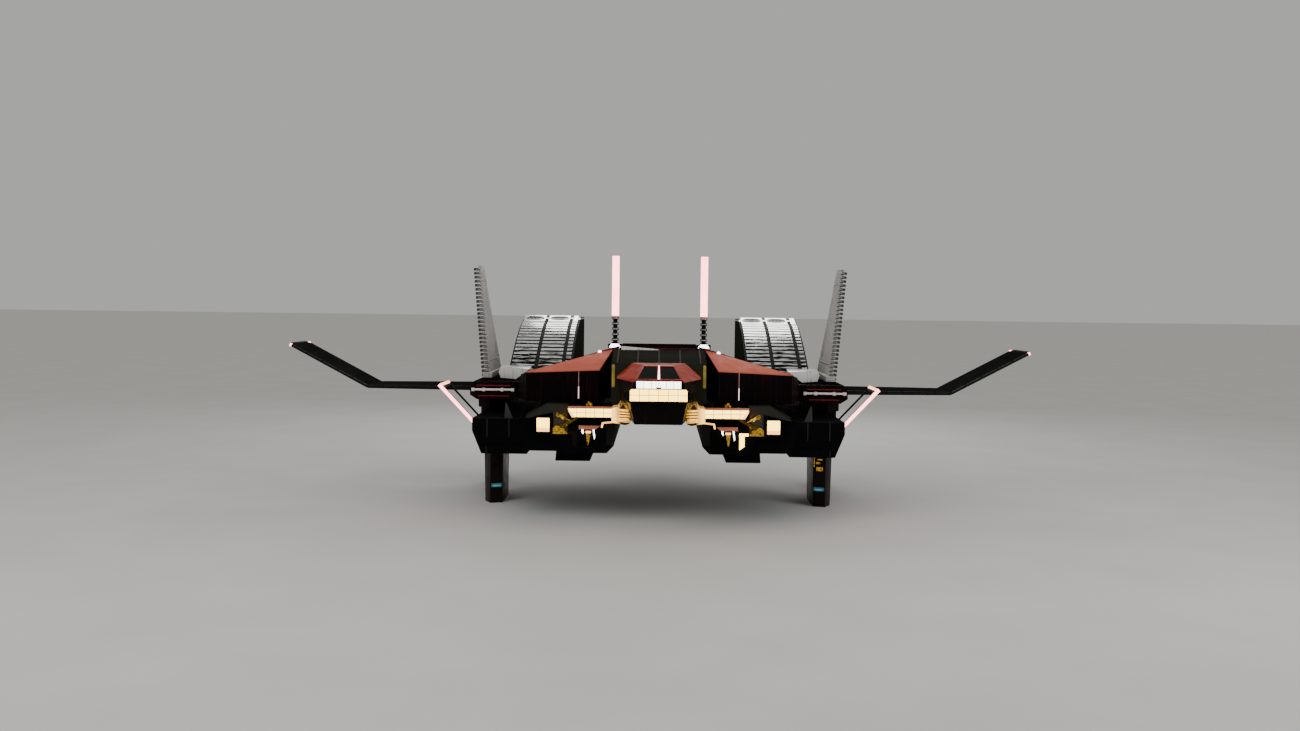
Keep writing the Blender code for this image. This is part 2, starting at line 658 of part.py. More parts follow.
def make_fin(side, word):
    """Leaning fin on its plinth, with a rudder that turns on two pins."""
    view = fin_view()
    half = FIN_THICKNESS / 2
    corners = []
    for level in (0.0, FIN_OUTLINE[2][1]):
        lead, trail = chord_at(level)
        for y, thick in ((lead, 0.5), (lead + 0.12, 1.0), (trail - 0.30, 1.0), (trail, 0.3)):
            corners += [view @ Vector((y, level, thick * half * sign)) for sign in (1, -1)]
    fin = block("fin_" + word, corners, GREY)
    plinth = box("plinth", *FIN_PLINTH, GREY)
    below = box("below", (4.0, -1.5, 2.9), (4.9, 2.5, DECK_Z), GREY)
    notch = []
    for level in RUDDER_LEVELS:
        hinge = hinge_at(level)
        for y in (hinge - RUDDER_GAP, 2.6):
            notch += [view @ Vector((y, level, 0.2 * sign)) for sign in (1, -1)]
    slot = block("slot", notch, GREY)
    fin = combine(fin, [plinth, leading_strip(view)], "UNION")
    hand(combine(fin, [below, slot], "DIFFERENCE"), side)
    make_rudder(side, word, view)


def leading_strip(view):
    """Spine and teeth in front of the fin's leading edge."""
    start = Vector((FIN_OUTLINE[0][0], 0.0))
    end = Vector((FIN_OUTLINE[3][0], FIN_OUTLINE[3][1]))
    along = (end - start).normalized()
    ahead = Vector((-along.y, along.x))

    def bar(name, low, high, near, far, half):
        corners = [
            view @ Vector((*(start + along * level + ahead * depth), half * sign))
            for level in (low, high) for depth in (near, far) for sign in (1, -1)
        ]
        return block(name, corners, GREY)

    reach = (end - start).length
    spine = bar("spine", 0.02, reach - 0.012, -0.033, 0.035, SPINE_HALF)
    teeth = []
    for i in range(TOOTH_COUNT):
        share = (i + 0.7) / (TOOTH_COUNT + 0.6)
        half = TOOTH_HALF_WIDTH[0] + (TOOTH_HALF_WIDTH[1] - TOOTH_HALF_WIDTH[0]) * share
        level = reach * share
        low = level - TOOTH_HALF_HEIGHT
        high = level + TOOTH_HALF_HEIGHT
        teeth.append(bar("tooth", low, high, -TOOTH_DEPTH / 4, TOOTH_DEPTH * 3 / 4, half))
    return combine(spine, teeth, "UNION")


def make_rudder(side, word, view):
    """Rudder in the fin's trailing edge."""
    low = RUDDER_LEVELS[0] + 0.008
    high = RUDDER_LEVELS[1] - 0.008
    half = 0.040
    corners = []
    for level in (low, high):
        hinge = hinge_at(level)
        trail = chord_at(level)[1]
        flat = ((hinge - RUDDER_NOSE, 0.0), (hinge, half), (hinge, -half), (trail, 0.010), (trail, -0.010))
        corners += [view @ Vector((y, level, n)) for y, n in flat]
    rudder = block("rudder_" + word, corners, GREY)
    foot, head = (view @ Vector((hinge_at(level), level, 0)) for level in RUDDER_LEVELS)
    line = (head - foot).normalized()
    lean = line.angle(view.to_3x3() @ Vector((0, 1, 0)))
    setback = (PIN_RADIUS * math.sin(lean) + GAP) / math.cos(lean)
    start = foot + line * setback
    end = head - line * setback
    pin = cylinder("pin", PIN_RADIUS, start, end, STEEL, 16)
    rudder = hand(combine(rudder, [pin], "UNION"), side)
    middle = (start + end) / 2
    pivot(rudder, (side * middle.x, middle.y, middle.z))


def cowl_profile(inset):
    """Side view of the nacelle, with its ribs where there is no inset."""
    low = NACELLE_LOW + inset
    points = [(-1.0 + inset, low), (-1.0 + inset, low + 0.06)]
    rise = SLOPE_END[1] - SLOPE_START[1]
    run = SLOPE_END[0] - SLOPE_START[0]

    def slope(t, depth):
        z = SLOPE_START[1] + rise * (1 - (1 - t) ** SLOPE_POWER)
        return (SLOPE_START[0] + run * t + depth * 0.4, z - depth)

    if inset:
        points += [slope(i / 8, inset + 0.02) for i in range(9)]
    else:
        for i in range(RIB_COUNT):
            start = i / RIB_COUNT
            crest = start + 0.6 / RIB_COUNT
            end = start + 1 / RIB_COUNT
            points += [slope(start, 0), slope(crest, 0), slope(crest, RIB_DEPTH), slope(end, RIB_DEPTH)]
        points.append(SLOPE_END)
    points += [(y - inset, z - inset) for y, z in NACELLE_TOP]
    points.append((NACELLE_REAR - inset, low))
    return points


def groove_places(side):
    """Middles of the two grooves across the cowl, from the starboard edge of either nacelle."""
    width = NACELLE_X[1] - NACELLE_X[0]
    start = NACELLE_X[0] if side > 0 else -NACELLE_X[1]
    return sorted(side * (start + share * width) for share in GROOVE_SHARES)


def make_nacelle(side, word):
    """Ribbed nacelle in three bands, with a fan duct in its rear face."""
    edges = [NACELLE_X[0] + BAND_SETBACK]
    for middle in groove_places(side):
        edges += [middle - GROOVE_WIDTH / 2, middle + GROOVE_WIDTH / 2]
    edges.append(NACELLE_X[1] - BAND_SETBACK)
    profile = cowl_profile(0.0)
    bands = []
    for i in range(0, len(edges), 2):
        bands.append(slab("band", profile, edges[i], edges[i + 1], SIDE_VIEW, STEEL))
    core = slab(
        "nacelle_" + word, cowl_profile(GROOVE_DEPTH), *NACELLE_X, SIDE_VIEW, STEEL
    )
    fairing = block("fairing", FAIRING, STEEL)
    nacelle = combine(core, bands + [fairing], "UNION")
    x, z = FAN_CENTRE
    duct = cylinder("duct", DUCT_RADIUS, (x, DUCT_FLOOR_Y, z), (x, NACELLE_REAR + 0.1, z), STEEL)
    hand(combine(nacelle, [duct], "DIFFERENCE"), side)


def blade(radius, hub, depth, chord, axis, centre, angle):
    """One flat blade set at an angle round a fan's axis."""
    turn = Matrix.Rotation(angle, 4, axis)
    corners = []
    for reach, width in ((hub * 0.7, chord * 0.7), (radius, chord)):
        for lead in (-1, 1):
            for thick in (-0.012, 0.012):
                if axis == "Y":
                    local = Vector((reach, lead * depth / 2, lead * width / 2 + thick))
                else:
                    local = Vector((reach, lead * width / 2 + thick, lead * depth / 2))
                corners.append(Vector(centre) + turn @ local)
    return block("blade", corners, DARK_PANEL)


def make_fan(side, word):
    """Thrust fan in the nacelle's rear duct."""
    x, z = FAN_CENTRE
    middle = (x, sum(FAN_Y) / 2, z)
    hub = cylinder("fan_" + word, FAN_HUB_RADIUS, (x, FAN_Y[0], z), (x, FAN_Y[1], z), STEEL, 32)
    shaft = cylinder("shaft", 0.07, (x, DUCT_FLOOR_Y + GAP, z), (x, FAN_Y[0] + 0.05, z), STEEL, 24)
    depth = FAN_Y[1] - FAN_Y[0] - 0.06
    blades = [
        blade(FAN_RADIUS - 0.01, FAN_HUB_RADIUS, depth, 0.20, "Y", middle, math.tau * i / FAN_BLADES)
        for i in range(FAN_BLADES)
    ]
    fan = hand(combine(hub, [shaft] + blades, "UNION"), side)
    pivot(fan, (side * x, middle[1], z))


def headlamp_hood():
    """Four-sided hood round the headlamp."""
    (x0, x1), (z0, z1) = HEADLAMP_X, HEADLAMP_Z
    front = HEADLAMP_Y[0] - HOOD_REACH
    back = MID_BOX_Y[0]
    wall = HOOD_WALL
    play = 2 * GAP
    hood = box("hood", (x0 - wall, front, z0 - wall), (x1 + wall, back + 0.01, z1 + wall), BLACK)
    room = box("room", (x0 - play, front - 0.1, z0 - play), (x1 + play, back - GAP / 2, z1 + play), BLACK)
    return combine(hood, [room], "DIFFERENCE")


def make_sponson(side, word):
    """Sponson of four boxes with a pylon, and the duct of the lift fan in its underside."""
    sponson = front_slab("sponson_" + word, OUTER_BOX, *OUTER_BOX_Y, BLACK)
    others = [
        front_slab("inner_box", INNER_BOX, *INNER_BOX_Y, BLACK),
        front_slab("mid_box", MID_BOX, *MID_BOX_Y, BLACK),
        front_slab("belly_box", BELLY_BOX, *BELLY_BOX_Y, BLACK),
        slab("pylon", PYLON_PLAN, OUTER_HIGH - 0.3, POD_LOW - GAP, PLAN_VIEW, BLACK),
        front_slab("gusset", GUSSET, *GUSSET_Y, BLACK),
        front_slab("works_roof", WORKS_ROOF, *WORKS_ROOF_Y, BLACK),
        headlamp_hood(),
    ]
    sponson = combine(sponson, others, "UNION")
    x, y = LIFT_CENTRE
    duct = cylinder("duct", LIFT_DUCT_RADIUS, (x, y, OUTER_LOW - 0.1), (x, y, LIFT_DUCT_TOP), BLACK)
    hand(combine(sponson, [duct], "DIFFERENCE"), side)


def make_lift_fan(side, word):
    """Lift fan in the sponson's duct."""
    x, y = LIFT_CENTRE
    middle = (x, y, sum(LIFT_FAN_Z) / 2)
    hub = cylinder("lift_fan_" + word, LIFT_HUB_RADIUS, (x, y, LIFT_FAN_Z[0]), (x, y, LIFT_FAN_Z[1]), STEEL, 32)
    shaft = cylinder("shaft", 0.045, (x, y, LIFT_FAN_Z[1] - 0.05), (x, y, LIFT_DUCT_TOP - GAP), STEEL, 24)
    depth = LIFT_FAN_Z[1] - LIFT_FAN_Z[0] - 0.03
    blades = [
        blade(LIFT_FAN_RADIUS - 0.006, LIFT_HUB_RADIUS, depth, 0.13, "Z", middle, math.tau * i / LIFT_BLADES)
        for i in range(LIFT_BLADES)
    ]
    fan = hand(combine(hub, [shaft] + blades, "UNION"), side)
    pivot(fan, (side * x, y, middle[2]))


def make_lamps(side, word):
    """Lamp bar and headlamp on the sponson's front."""
    hand(front_slab("lamp_bar_" + word, LAMP_BAR, *LAMP_BAR_Y, WARM_LIGHT), side)
    low = (HEADLAMP_X[0], HEADLAMP_Y[0], HEADLAMP_Z[0])
    high = (HEADLAMP_X[1], HEADLAMP_Y[1], HEADLAMP_Z[1])
    hand(box("headlamp_" + word, low, high, WARM_LIGHT), side)


def make_works(side, word):
    """Bars and wheels on a plate between the lamp bar and the headlamp."""
    plate = box("lamp_works_" + word, *WORKS_WALL, GOLD)
    front, back = WORKS_DEPTH
    pieces = []
    for (x0, z0), (x1, z1), width in WORKS_BARS:
        across = Vector((z1 - z0, x0 - x1)).normalized() * width / 2
        corners = []
        for x, z in ((x0, z0), (x1, z1)):
            for y in (front + 0.03, back):
                corners += [(x + sign * across.x, y, z + sign * across.y) for sign in (1, -1)]
        pieces.append(block("bar", corners, GOLD))
    for x, z, radius in WORKS_WHEELS:
        pieces.append(cylinder("wheel", radius, (x, front, z), (x, back, z), GOLD, 16))
    pieces.append(front_slab("strut", WORKS_STRUT, *WORKS_STRUT_Y, GOLD))
    pieces.append(box("peg", *WORKS_PEG, GOLD))
    hand(combine(plate, pieces, "UNION"), side)


def make_device(side, word):
    """Bar, prongs, nozzle, shroud and bracket under the lamp bar."""
    device = front_slab("lamp_device_" + word, DEVICE_BAR, DEVICE_FRONT, DEVICE_BACK, GOLD)
    pieces = [front_slab("prong", outline, DEVICE_FRONT + 0.01, DEVICE_BACK, GOLD) for outline in DEVICE_PRONGS]
    pieces.append(front_slab("nozzle", DEVICE_NOZZLE, DEVICE_FRONT + 0.02, DEVICE_BACK, GOLD))
    pieces += [front_slab("shroud", outline, DEVICE_FRONT + 0.015, DEVICE_BACK, GOLD) for outline in DEVICE_SHROUD]
    pieces.append(front_slab("bracket", DEVICE_BRACKET, DEVICE_FRONT + 0.025, DEVICE_BACK, GOLD))
    hand(combine(device, pieces, "UNION"), side)


def make_elbow(side, word):
    """Faceted arm from the cockpit's cheek to the lamp bar, with its knuckle, fingers and hook."""
    elbow = front_slab("elbow_" + word, ELBOW_OUTLINE, *ELBOW_Y, GOLD)
    pieces = [block("knuckle", KNUCKLE, GOLD)]
    for i in range(FINGER_COUNT):
        z = FINGER_LOW + i * FINGER_PITCH
        x = FINGER_X[0] + i * FINGER_STEP
        pieces.append(box("finger", (x, FINGER_Y[0], z), (FINGER_X[1], FINGER_Y[1], z + FINGER_HEIGHT), GOLD))
    for start, end in zip(HOOK_PATH, HOOK_PATH[1:]):
        corners = []
        for x, y, z in (start, end):
            corners += [
                (x + dx * HOOK_HALF, y + dy * HOOK_HALF, z + dz * HOOK_HALF)
                for dx in (1, -1) for dy in (1, -1) for dz in (1, -1)
            ]
        pieces.append(block("hook", corners, GOLD))
    hand(combine(elbow, pieces, "UNION"), side)


def make_winglet(side, word):
    """Canted winglet with a light bar along its leading edge."""
    root = Vector((WINGLET_ROOT[0], 0, WINGLET_ROOT[1]))
    tip = Vector((WINGLET_TIP[0], 0, WINGLET_TIP[1]))
    along = (tip - root).normalized()
    across = Vector((-along.z, 0, along.x))

    def corners(half, y_low, y_high, tip_shift):
        found = []
        end = tip + along * tip_shift
        for y in (y_low, y_high):
            for sign in (1, -1):
                start = root + across * half * sign
                start = start - along * ((start.x - root.x) / along.x)
                found += [start + Vector((0, y, 0)), end + across * half * sign + Vector((0, y, 0))]
        return found

    panel = corners(WINGLET_THICKNESS / 2, *WINGLET_Y, 0.0)
    hand(block("winglet_" + word, panel, DARK_PANEL), side)
    strip = block(
        "winglet_light_" + word, corners(STRIP_SIZE / 2, WINGLET_Y[0] - STRIP_SIZE, WINGLET_Y[0] - GAP, TIP_BAR),
        PINK_LIGHT,
    )
    shift = along * (TIP_BAR / 2 + GAP)
    middle = tip + shift
    half = along * (TIP_BAR / 2)
    tip_bar = block("tip_bar", [
        middle + half * a + across * (STRIP_SIZE / 2 * b) + Vector((0, y, 0))
        for a in (1, -1) for b in (1, -1) for y in (WINGLET_Y[0] - STRIP_SIZE / 2, WINGLET_Y[1])
    ], PINK_LIGHT)
    hand(combine(strip, [tip_bar], "UNION"), side)


def make_keel(side, word):
    """Front leg, rear strut and skid."""
    leg = [(x, y, OUTER_LOW - GAP) for x, y in LEG_TOP] + [(x, y, 0.0) for x, y in LEG_FOOT]
    skid = [(x, y, z) for x, y in SKID_LOW for z in (0.0, SKID_HEIGHT)]
    strut = [(x, y, POD_LOW - GAP) for x, y in STRUT_TOP] + [(x, y, 0.05) for x, y in STRUT_FOOT]
    keel = block("keel_" + word, leg, BRONZE)
    hand(combine(keel, [block("skid", skid, BRONZE), block("strut", strut, BRONZE)], "UNION"), side)


def make_mast(side, word):
    """Mast foot with ribbed neck, and the square light rod on it."""
    x, y = MAST_PLACE
    low, high = MAST_PLATE_Z
    half_x, half_y = MAST_PLATE_HALF
    foot = box("mast_" + word, (x - half_x, y - half_y, low), (x + half_x, y + half_y, high), STEEL)
    pitch = (MAST_NECK_TOP - high) / (MAST_RINGS * 2)
    profile = [(0.0, MAST_NECK_TOP)]
    for i in range(MAST_RINGS * 2):
        radius = MAST_RING_RADIUS if i % 2 == 0 else MAST_NECK_RADIUS
        top = MAST_NECK_TOP - i * pitch
        profile += [(radius, top), (radius, top - pitch)]
    profile += [(MAST_NECK_RADIUS, high - 0.05), (0.0, high - 0.05)]
    neck = turned("neck", profile, STEEL)
    neck.data.transform(Matrix.Translation((x, y, 0)))
    hand(combine(foot, [neck], "UNION"), side)
    low_corner = (x - ROD_HALF, y - ROD_HALF, MAST_NECK_TOP + GAP)
    high_corner = (x + ROD_HALF, y + ROD_HALF, ROD_TOP)
    rod = box("mast_rod_" + word, low_corner, high_corner, PINK_LIGHT)
    hand(rod, side)


def turned(name, profile, material, steps=20):
    """A profile of radius and level, top to bottom, turned round Z."""
    bm = bmesh.new()
    points = [bm.verts.new((radius, 0.0, z)) for radius, z in profile]
    for near, far in zip(points, points[1:]):
        bm.edges.new((near, far))
    item = add_mesh(name + "_profile", bm, material)
    screw = item.modifiers.new("Turn", "SCREW")
    screw.steps = steps
    screw.render_steps = steps
    screw.use_merge_vertices = True
    screw.merge_threshold = 0.0001
    bpy.context.view_layer.update()
    return to_mesh(item, name, material)


clear_scene()
CRAFT = new_collection("hovercraft")

RED = finish("red_enamel", (0.52, 0.10, 0.075), 0.0, 0.40)
MAROON = finish("maroon_gloss_enamel", (0.05, 0.010, 0.012), 0.3, 0.18)
BLACK = finish("black_enamel", (0.018, 0.020, 0.024), 0.2, 0.35)
DARK_PANEL = finish("dark_panel", (0.022, 0.023, 0.024), 0.3, 0.42)
GREY = finish("grey_metal", (0.38, 0.38, 0.37), 0.8, 0.38)
STEEL = finish("bright_steel", (0.75, 0.76, 0.74), 1.0, 0.16)
GOLD = finish("brass_plate", (0.80, 0.58, 0.18), 1.0, 0.28)
BRONZE = finish("dark_bronze", (0.13, 0.10, 0.085), 1.0, 0.20)
CLOTH = finish("seat_cloth", (0.05, 0.045, 0.04), 0.0, 0.85)
GLASS = finish("dark_glass", (0.03, 0.03, 0.035), 0.0, 0.05)
WARM_LIGHT = finish("warm_light", (1.0, 0.84, 0.62), 0.0, 0.3, 2.0)
WHITE_LIGHT = finish("white_light", (0.96, 0.97, 1.0), 0.0, 0.3, 2.0)
PINK_LIGHT = finish("pink_light", (1.0, 0.70, 0.72), 0.0, 0.3, 2.0)

make_trunk()
make_tub()
make_canopy()
make_cockpit_fittings()
for craft_side, side_word in SIDES:
    make_shoulder(craft_side, side_word)
    make_pod(craft_side, side_word)
    make_wing(craft_side, side_word)
    make_fin(craft_side, side_word)
    make_nacelle(craft_side, side_word)
    make_fan(craft_side, side_word)
    make_sponson(craft_side, side_word)
    make_lift_fan(craft_side, side_word)
    make_lamps(craft_side, side_word)
    make_works(craft_side, side_word)
    make_device(craft_side, side_word)
    make_elbow(craft_side, side_word)
    make_winglet(craft_side, side_word)
    make_keel(craft_side, side_word)
    make_mast(craft_side, side_word)
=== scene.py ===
"""Finishes, fine detail, light and camera for a hovering craft that stands on keel skids.

Metres, +Z up, the nose towards -Y and port at +X. Side pieces are shaped on the port side and then handed.
"""
import logging
import math
from collections.abc import Iterable, Sequence
from dataclasses import dataclass
from enum import Enum

import bmesh
import bpy
from mathutils import Matrix, Vector


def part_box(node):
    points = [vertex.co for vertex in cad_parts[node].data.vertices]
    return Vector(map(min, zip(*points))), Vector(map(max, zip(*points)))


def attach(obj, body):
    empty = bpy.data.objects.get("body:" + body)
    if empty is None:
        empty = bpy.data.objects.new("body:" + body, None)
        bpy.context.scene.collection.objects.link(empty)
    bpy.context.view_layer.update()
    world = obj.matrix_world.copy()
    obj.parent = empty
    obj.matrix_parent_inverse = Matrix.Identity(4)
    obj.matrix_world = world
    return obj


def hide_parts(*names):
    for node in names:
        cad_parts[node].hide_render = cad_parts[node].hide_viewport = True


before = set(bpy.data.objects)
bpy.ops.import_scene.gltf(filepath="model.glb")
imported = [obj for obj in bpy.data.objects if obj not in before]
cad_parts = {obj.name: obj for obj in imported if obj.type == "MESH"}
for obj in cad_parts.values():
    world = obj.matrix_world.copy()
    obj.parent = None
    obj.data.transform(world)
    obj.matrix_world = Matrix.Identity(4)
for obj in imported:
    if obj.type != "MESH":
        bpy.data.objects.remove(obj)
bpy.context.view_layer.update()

LOG = logging.getLogger("craft")
MERGE_DISTANCE = 0.00005
FLAT_DEGREES = 0.3
FACE_REACH = 0.02
Point = Sequence[float]
Corners = Sequence[Point]
Span = tuple[float, float]
Place = tuple[float, float, float]
Outline = tuple[Span, ...]
Solid = bmesh.types.BMesh
Graph = bpy.types.NodeTree
Socket = bpy.types.NodeSocket


# Colour and node helpers

def linear(code: str) -> tuple[float, float, float, float]:
    """Turns an sRGB hex value into a linear colour.

    Args:
        code: Six hex digits.

    Returns:
        Red, green, blue and an alpha of one.
    """
    shares = [int(code[i:i + 2], 16) / 255 for i in (0, 2, 4)]
    red, green, blue = (s / 12.92 if s <= 0.04045 else ((s + 0.055) / 1.055) ** 2.4 for s in shares)
    return (red, green, blue, 1.0)


def add_node(tree: Graph, kind: str, inputs: dict | None = None, **settings: object) -> bpy.types.Node:
    """Adds a node with its settings and links.

    Args:
        tree: The tree that takes the node.
        kind: The node's type name.
        inputs: Socket name or number to a value, or to a socket that is linked in.
        **settings: The node's own properties.

    Returns:
        The new node.
    """
    made = tree.nodes.new(kind)
    for name, value in settings.items():
        setattr(made, name, value)
    for key, value in (inputs or {}).items():
        if isinstance(value, Socket):
            tree.links.new(value, made.inputs[key])
        else:
            made.inputs[key].default_value = value
    return made


class Surface:
    """The node tree of one material, with the patterns that the finishes share."""

    def __init__(self, name: str) -> None:
        """Starts a material with one Principled shader on Object coordinates."""
        material = bpy.data.materials.new(name)
        material.use_nodes = True
        self.tree = material.node_tree
        self.shader = self.tree.nodes["Principled BSDF"]
        self.place = add_node(self.tree, "ShaderNodeTexCoord").outputs["Object"]

    def set(self, **values: object) -> None:
        """Sets constant values on the shader's own sockets, with _ for each space in a name."""
        for key, value in values.items():
            self.shader.inputs[key.replace("_", " ")].default_value = value

    def patches(self, size_mm: float, stretch: Point) -> Socket:
        """Object coordinates scaled to patches of a size, longer along some axes."""
        scale = [1000 / size_mm / s for s in stretch]
        return add_node(self.tree, "ShaderNodeMapping", {"Vector": self.place, "Scale": scale}).outputs["Vector"]

    def noise(self, size_mm: float, detail: float = 3.0, stretch: Point = (1, 1, 1)) -> Socket:
        """A cloudy pattern.

        Args:
            size_mm: Size of its patches.
            detail: Octaves of finer pattern.
            stretch: How much longer the patches are along each axis.

        Returns:
            A value from nought to one.
        """
        inputs = {"Vector": self.patches(size_mm, stretch), "Scale": 1.0, "Detail": detail}
        return add_node(self.tree, "ShaderNodeTexNoise", inputs).outputs["Fac"]

    def cells(self, size_mm: float, stretch: Point = (1, 1, 1)) -> Socket:
        """Random flat tones in cells.

        Args:
            size_mm: Size of a cell.
            stretch: How much longer the cells are along each axis.

        Returns:
            A value from nought to one.
        """
        inputs = {"Vector": self.patches(size_mm, stretch), "Scale": 1.0, "Randomness": 0.6}
        colour = add_node(self.tree, "ShaderNodeTexVoronoi", inputs).outputs["Color"]
        return add_node(self.tree, "ShaderNodeSeparateColor", {"Color": colour}).outputs["Red"]

    def spread(self, value: Socket, low: float, high: float, start: float = 0.3, end: float = 0.7) -> Socket:
        """Maps a pattern to a range.

        Args:
            value: The pattern.
            low: What it gives at and below the start.
            high: What it gives at and above the end.
            start: The pattern's value where the range starts.
            end: The pattern's value where the range ends.

        Returns:
            A value between low and high.
        """
        mapped = add_node(self.tree, "ShaderNodeMapRange", {
            "Value": value, "From Min": start, "From Max": end, "To Min": low, "To Max": high,
        })
        return mapped.outputs["Result"]

    def mix(self, share: Socket, first: Socket | str, second: Socket | str) -> Socket:
        """Mixes two colours, each a pattern or a hex value, by a share."""
        first, second = (linear(tone) if isinstance(tone, str) else tone for tone in (first, second))
        return add_node(self.tree, "ShaderNodeMix", {0: share, 6: first, 7: second}, data_type="RGBA").outputs[2]

    def link(self, name: str, value: Socket) -> None:
        """Links a pattern to one of the shader's sockets."""
        self.tree.links.new(value, self.shader.inputs[name])

    def relief(self, height: Socket, depth_mm: float, strength: float) -> None:
        """Gives the surface a fine relief.

        Args:
            height: The pattern that is raised.
            depth_mm: How far it rises.
            strength: How strongly it turns the light.
        """
        bump = add_node(
            self.tree, "ShaderNodeBump", {"Height": height, "Distance": depth_mm / 1000, "Strength": strength}
        )
        self.link("Normal", bump.outputs["Normal"])


# Finishes

@dataclass(frozen=True)
class Enamel:
    """Sprayed enamel over sheet metal: a skin with faint orange peel, cloudy tone and upright streaks, which are
    weather streaks on most paints and a painted glossy reflection on the maroon.
    """

    name: str
    colour: str
    shade: str
    roughness: float
    coat: float = 0.0
    specular: float = 0.5
    mottle_mm: float = 700.0
    peel_mm: float = 9.0
    panel_mm: float = 0.0
    streak: str = ""

    def dress(self, surface: Surface) -> None:
        """Lays the finish on a surface."""
        cloud = surface.spread(surface.noise(self.mottle_mm, 4.0), 0.0, 0.8)
        colour = surface.mix(cloud, self.colour, self.shade)
        # Upright streaks towards the streak colour: weather streaks, and on the maroon a painted reflection.
        streak = surface.spread(surface.noise(60, 4.0, (1, 1, 12)), 0.0, 0.5, 0.52, 0.75)
        colour = surface.mix(streak, colour, self.streak or self.shade)
        if self.panel_mm:
            tone = surface.spread(surface.cells(self.panel_mm, (1, 1.6, 1)), 0.0, 0.45, 0.2, 1.0)
            colour = surface.mix(tone, colour, self.shade)
        surface.link("Base Color", colour)
        film = surface.noise(220, 5.0)
        surface.link("Roughness", surface.spread(film, self.roughness * 0.75, self.roughness * 1.35))
        surface.set(Specular_IOR_Level=self.specular, Coat_Weight=self.coat, Coat_Roughness=0.08)
        surface.relief(surface.noise(self.peel_mm, 2.0), 0.4, 0.25)


@dataclass(frozen=True)
class BareMetal:
    """Bare metal with the marks of its brushing or rolling, which run along its stretch."""

    name: str
    colour: str
    shade: str
    roughness: float
    grain: Place = (1.0, 1.0, 1.0)
    grain_mm: float = 6.0
    stain_mm: float = 400.0

    def dress(self, surface: Surface) -> None:
        """Lays the finish on a surface."""
        stain = surface.spread(surface.noise(self.stain_mm, 4.0), 0.0, 0.9)
        surface.link("Base Color", surface.mix(stain, self.colour, self.shade))
        grain = surface.noise(self.grain_mm, 3.0, self.grain)
        surface.link("Roughness", surface.spread(grain, self.roughness * 0.7, self.roughness * 1.4))
        surface.set(Metallic=1.0)
        surface.relief(grain, 0.3, 0.2)


@dataclass(frozen=True)
class StreakedChrome:
    """Polished sheet steel with a painted reflection of a dark surround in its colour: long level dark streaks, fewer
    of them towards its crown, and an even mid tone on faces turned sideways or aft.
    """

    name: str
    colour: str
    dark: str
    roughness: float
    low_z: float
    high_z: float
    streak_mm: float = 34.0

    def dress(self, surface: Surface) -> None:
        """Lays the finish on a surface."""
        height = add_node(surface.tree, "ShaderNodeSeparateXYZ", {"Vector": surface.place}).outputs["Z"]
        # Painted reflection: the colour lightens with height, so the crown is brightest.
        rise = surface.spread(height, -0.05, 0.30, self.low_z, self.high_z)
        streak = surface.noise(self.streak_mm, 5.0, (9, 2.2, 1))
        lifted = add_node(surface.tree, "ShaderNodeMath", {0: streak, 1: rise}, operation="ADD").outputs[0]
        share = surface.spread(lifted, 0.0, 1.0, 0.47, 0.62)
        # Painted reflection: faces turned sideways or aft get an even mid tone.
        normal = add_node(surface.tree, "ShaderNodeTexCoord").outputs["Normal"]
        facing = add_node(surface.tree, "ShaderNodeSeparateXYZ", {"Vector": normal})
        side = add_node(surface.tree, "ShaderNodeMath", {0: facing.outputs["X"]}, operation="ABSOLUTE").outputs[0]
        turned = add_node(
            surface.tree, "ShaderNodeMath", {0: side, 1: facing.outputs["Y"]}, operation="MAXIMUM"
        ).outputs[0]
        plain = surface.spread(turned, 0.0, 0.55, 0.5, 0.8)
        share = add_node(surface.tree, "ShaderNodeMath", {0: share, 1: plain}, operation="MAXIMUM").outputs[0]
        cap = surface.spread(turned, 1.0, 0.60, 0.5, 0.8)
        share = add_node(surface.tree, "ShaderNodeMath", {0: share, 1: cap}, operation="MINIMUM").outputs[0]
        surface.link("Base Color", surface.mix(share, self.dark, self.colour))
        surface.link("Roughness", surface.spread(surface.noise(90, 3.0), self.roughness * 0.7, self.roughness * 1.5))
        surface.set(Metallic=1.0)
        surface.relief(surface.noise(110, 3.0, (3, 1, 1)), 9.0, 0.7)


@dataclass(frozen=True)
class LitLens:
    """A lamp's moulded acrylic lens, lit from behind, so it glows evenly under a thin gloss."""

    name: str
    colour: str
    deep: str
    glow: float
    patch_mm: float = 160.0

    def dress(self, surface: Surface) -> None:
        """Lays the finish on a surface."""
        ribs = surface.noise(18, 1.0)
        surface.link("Base Color", surface.mix(ribs, "4A4640", "1C1A18"))
        patch = surface.spread(surface.noise(self.patch_mm, 2.0), 0.0, 1.0)
        surface.link("Emission Color", surface.mix(patch, self.colour, self.deep))
        surface.set(Roughness=0.25, IOR=1.49, Emission_Strength=self.glow, Coat_Weight=0.2)
        surface.relief(ribs, 1.0, 0.2)


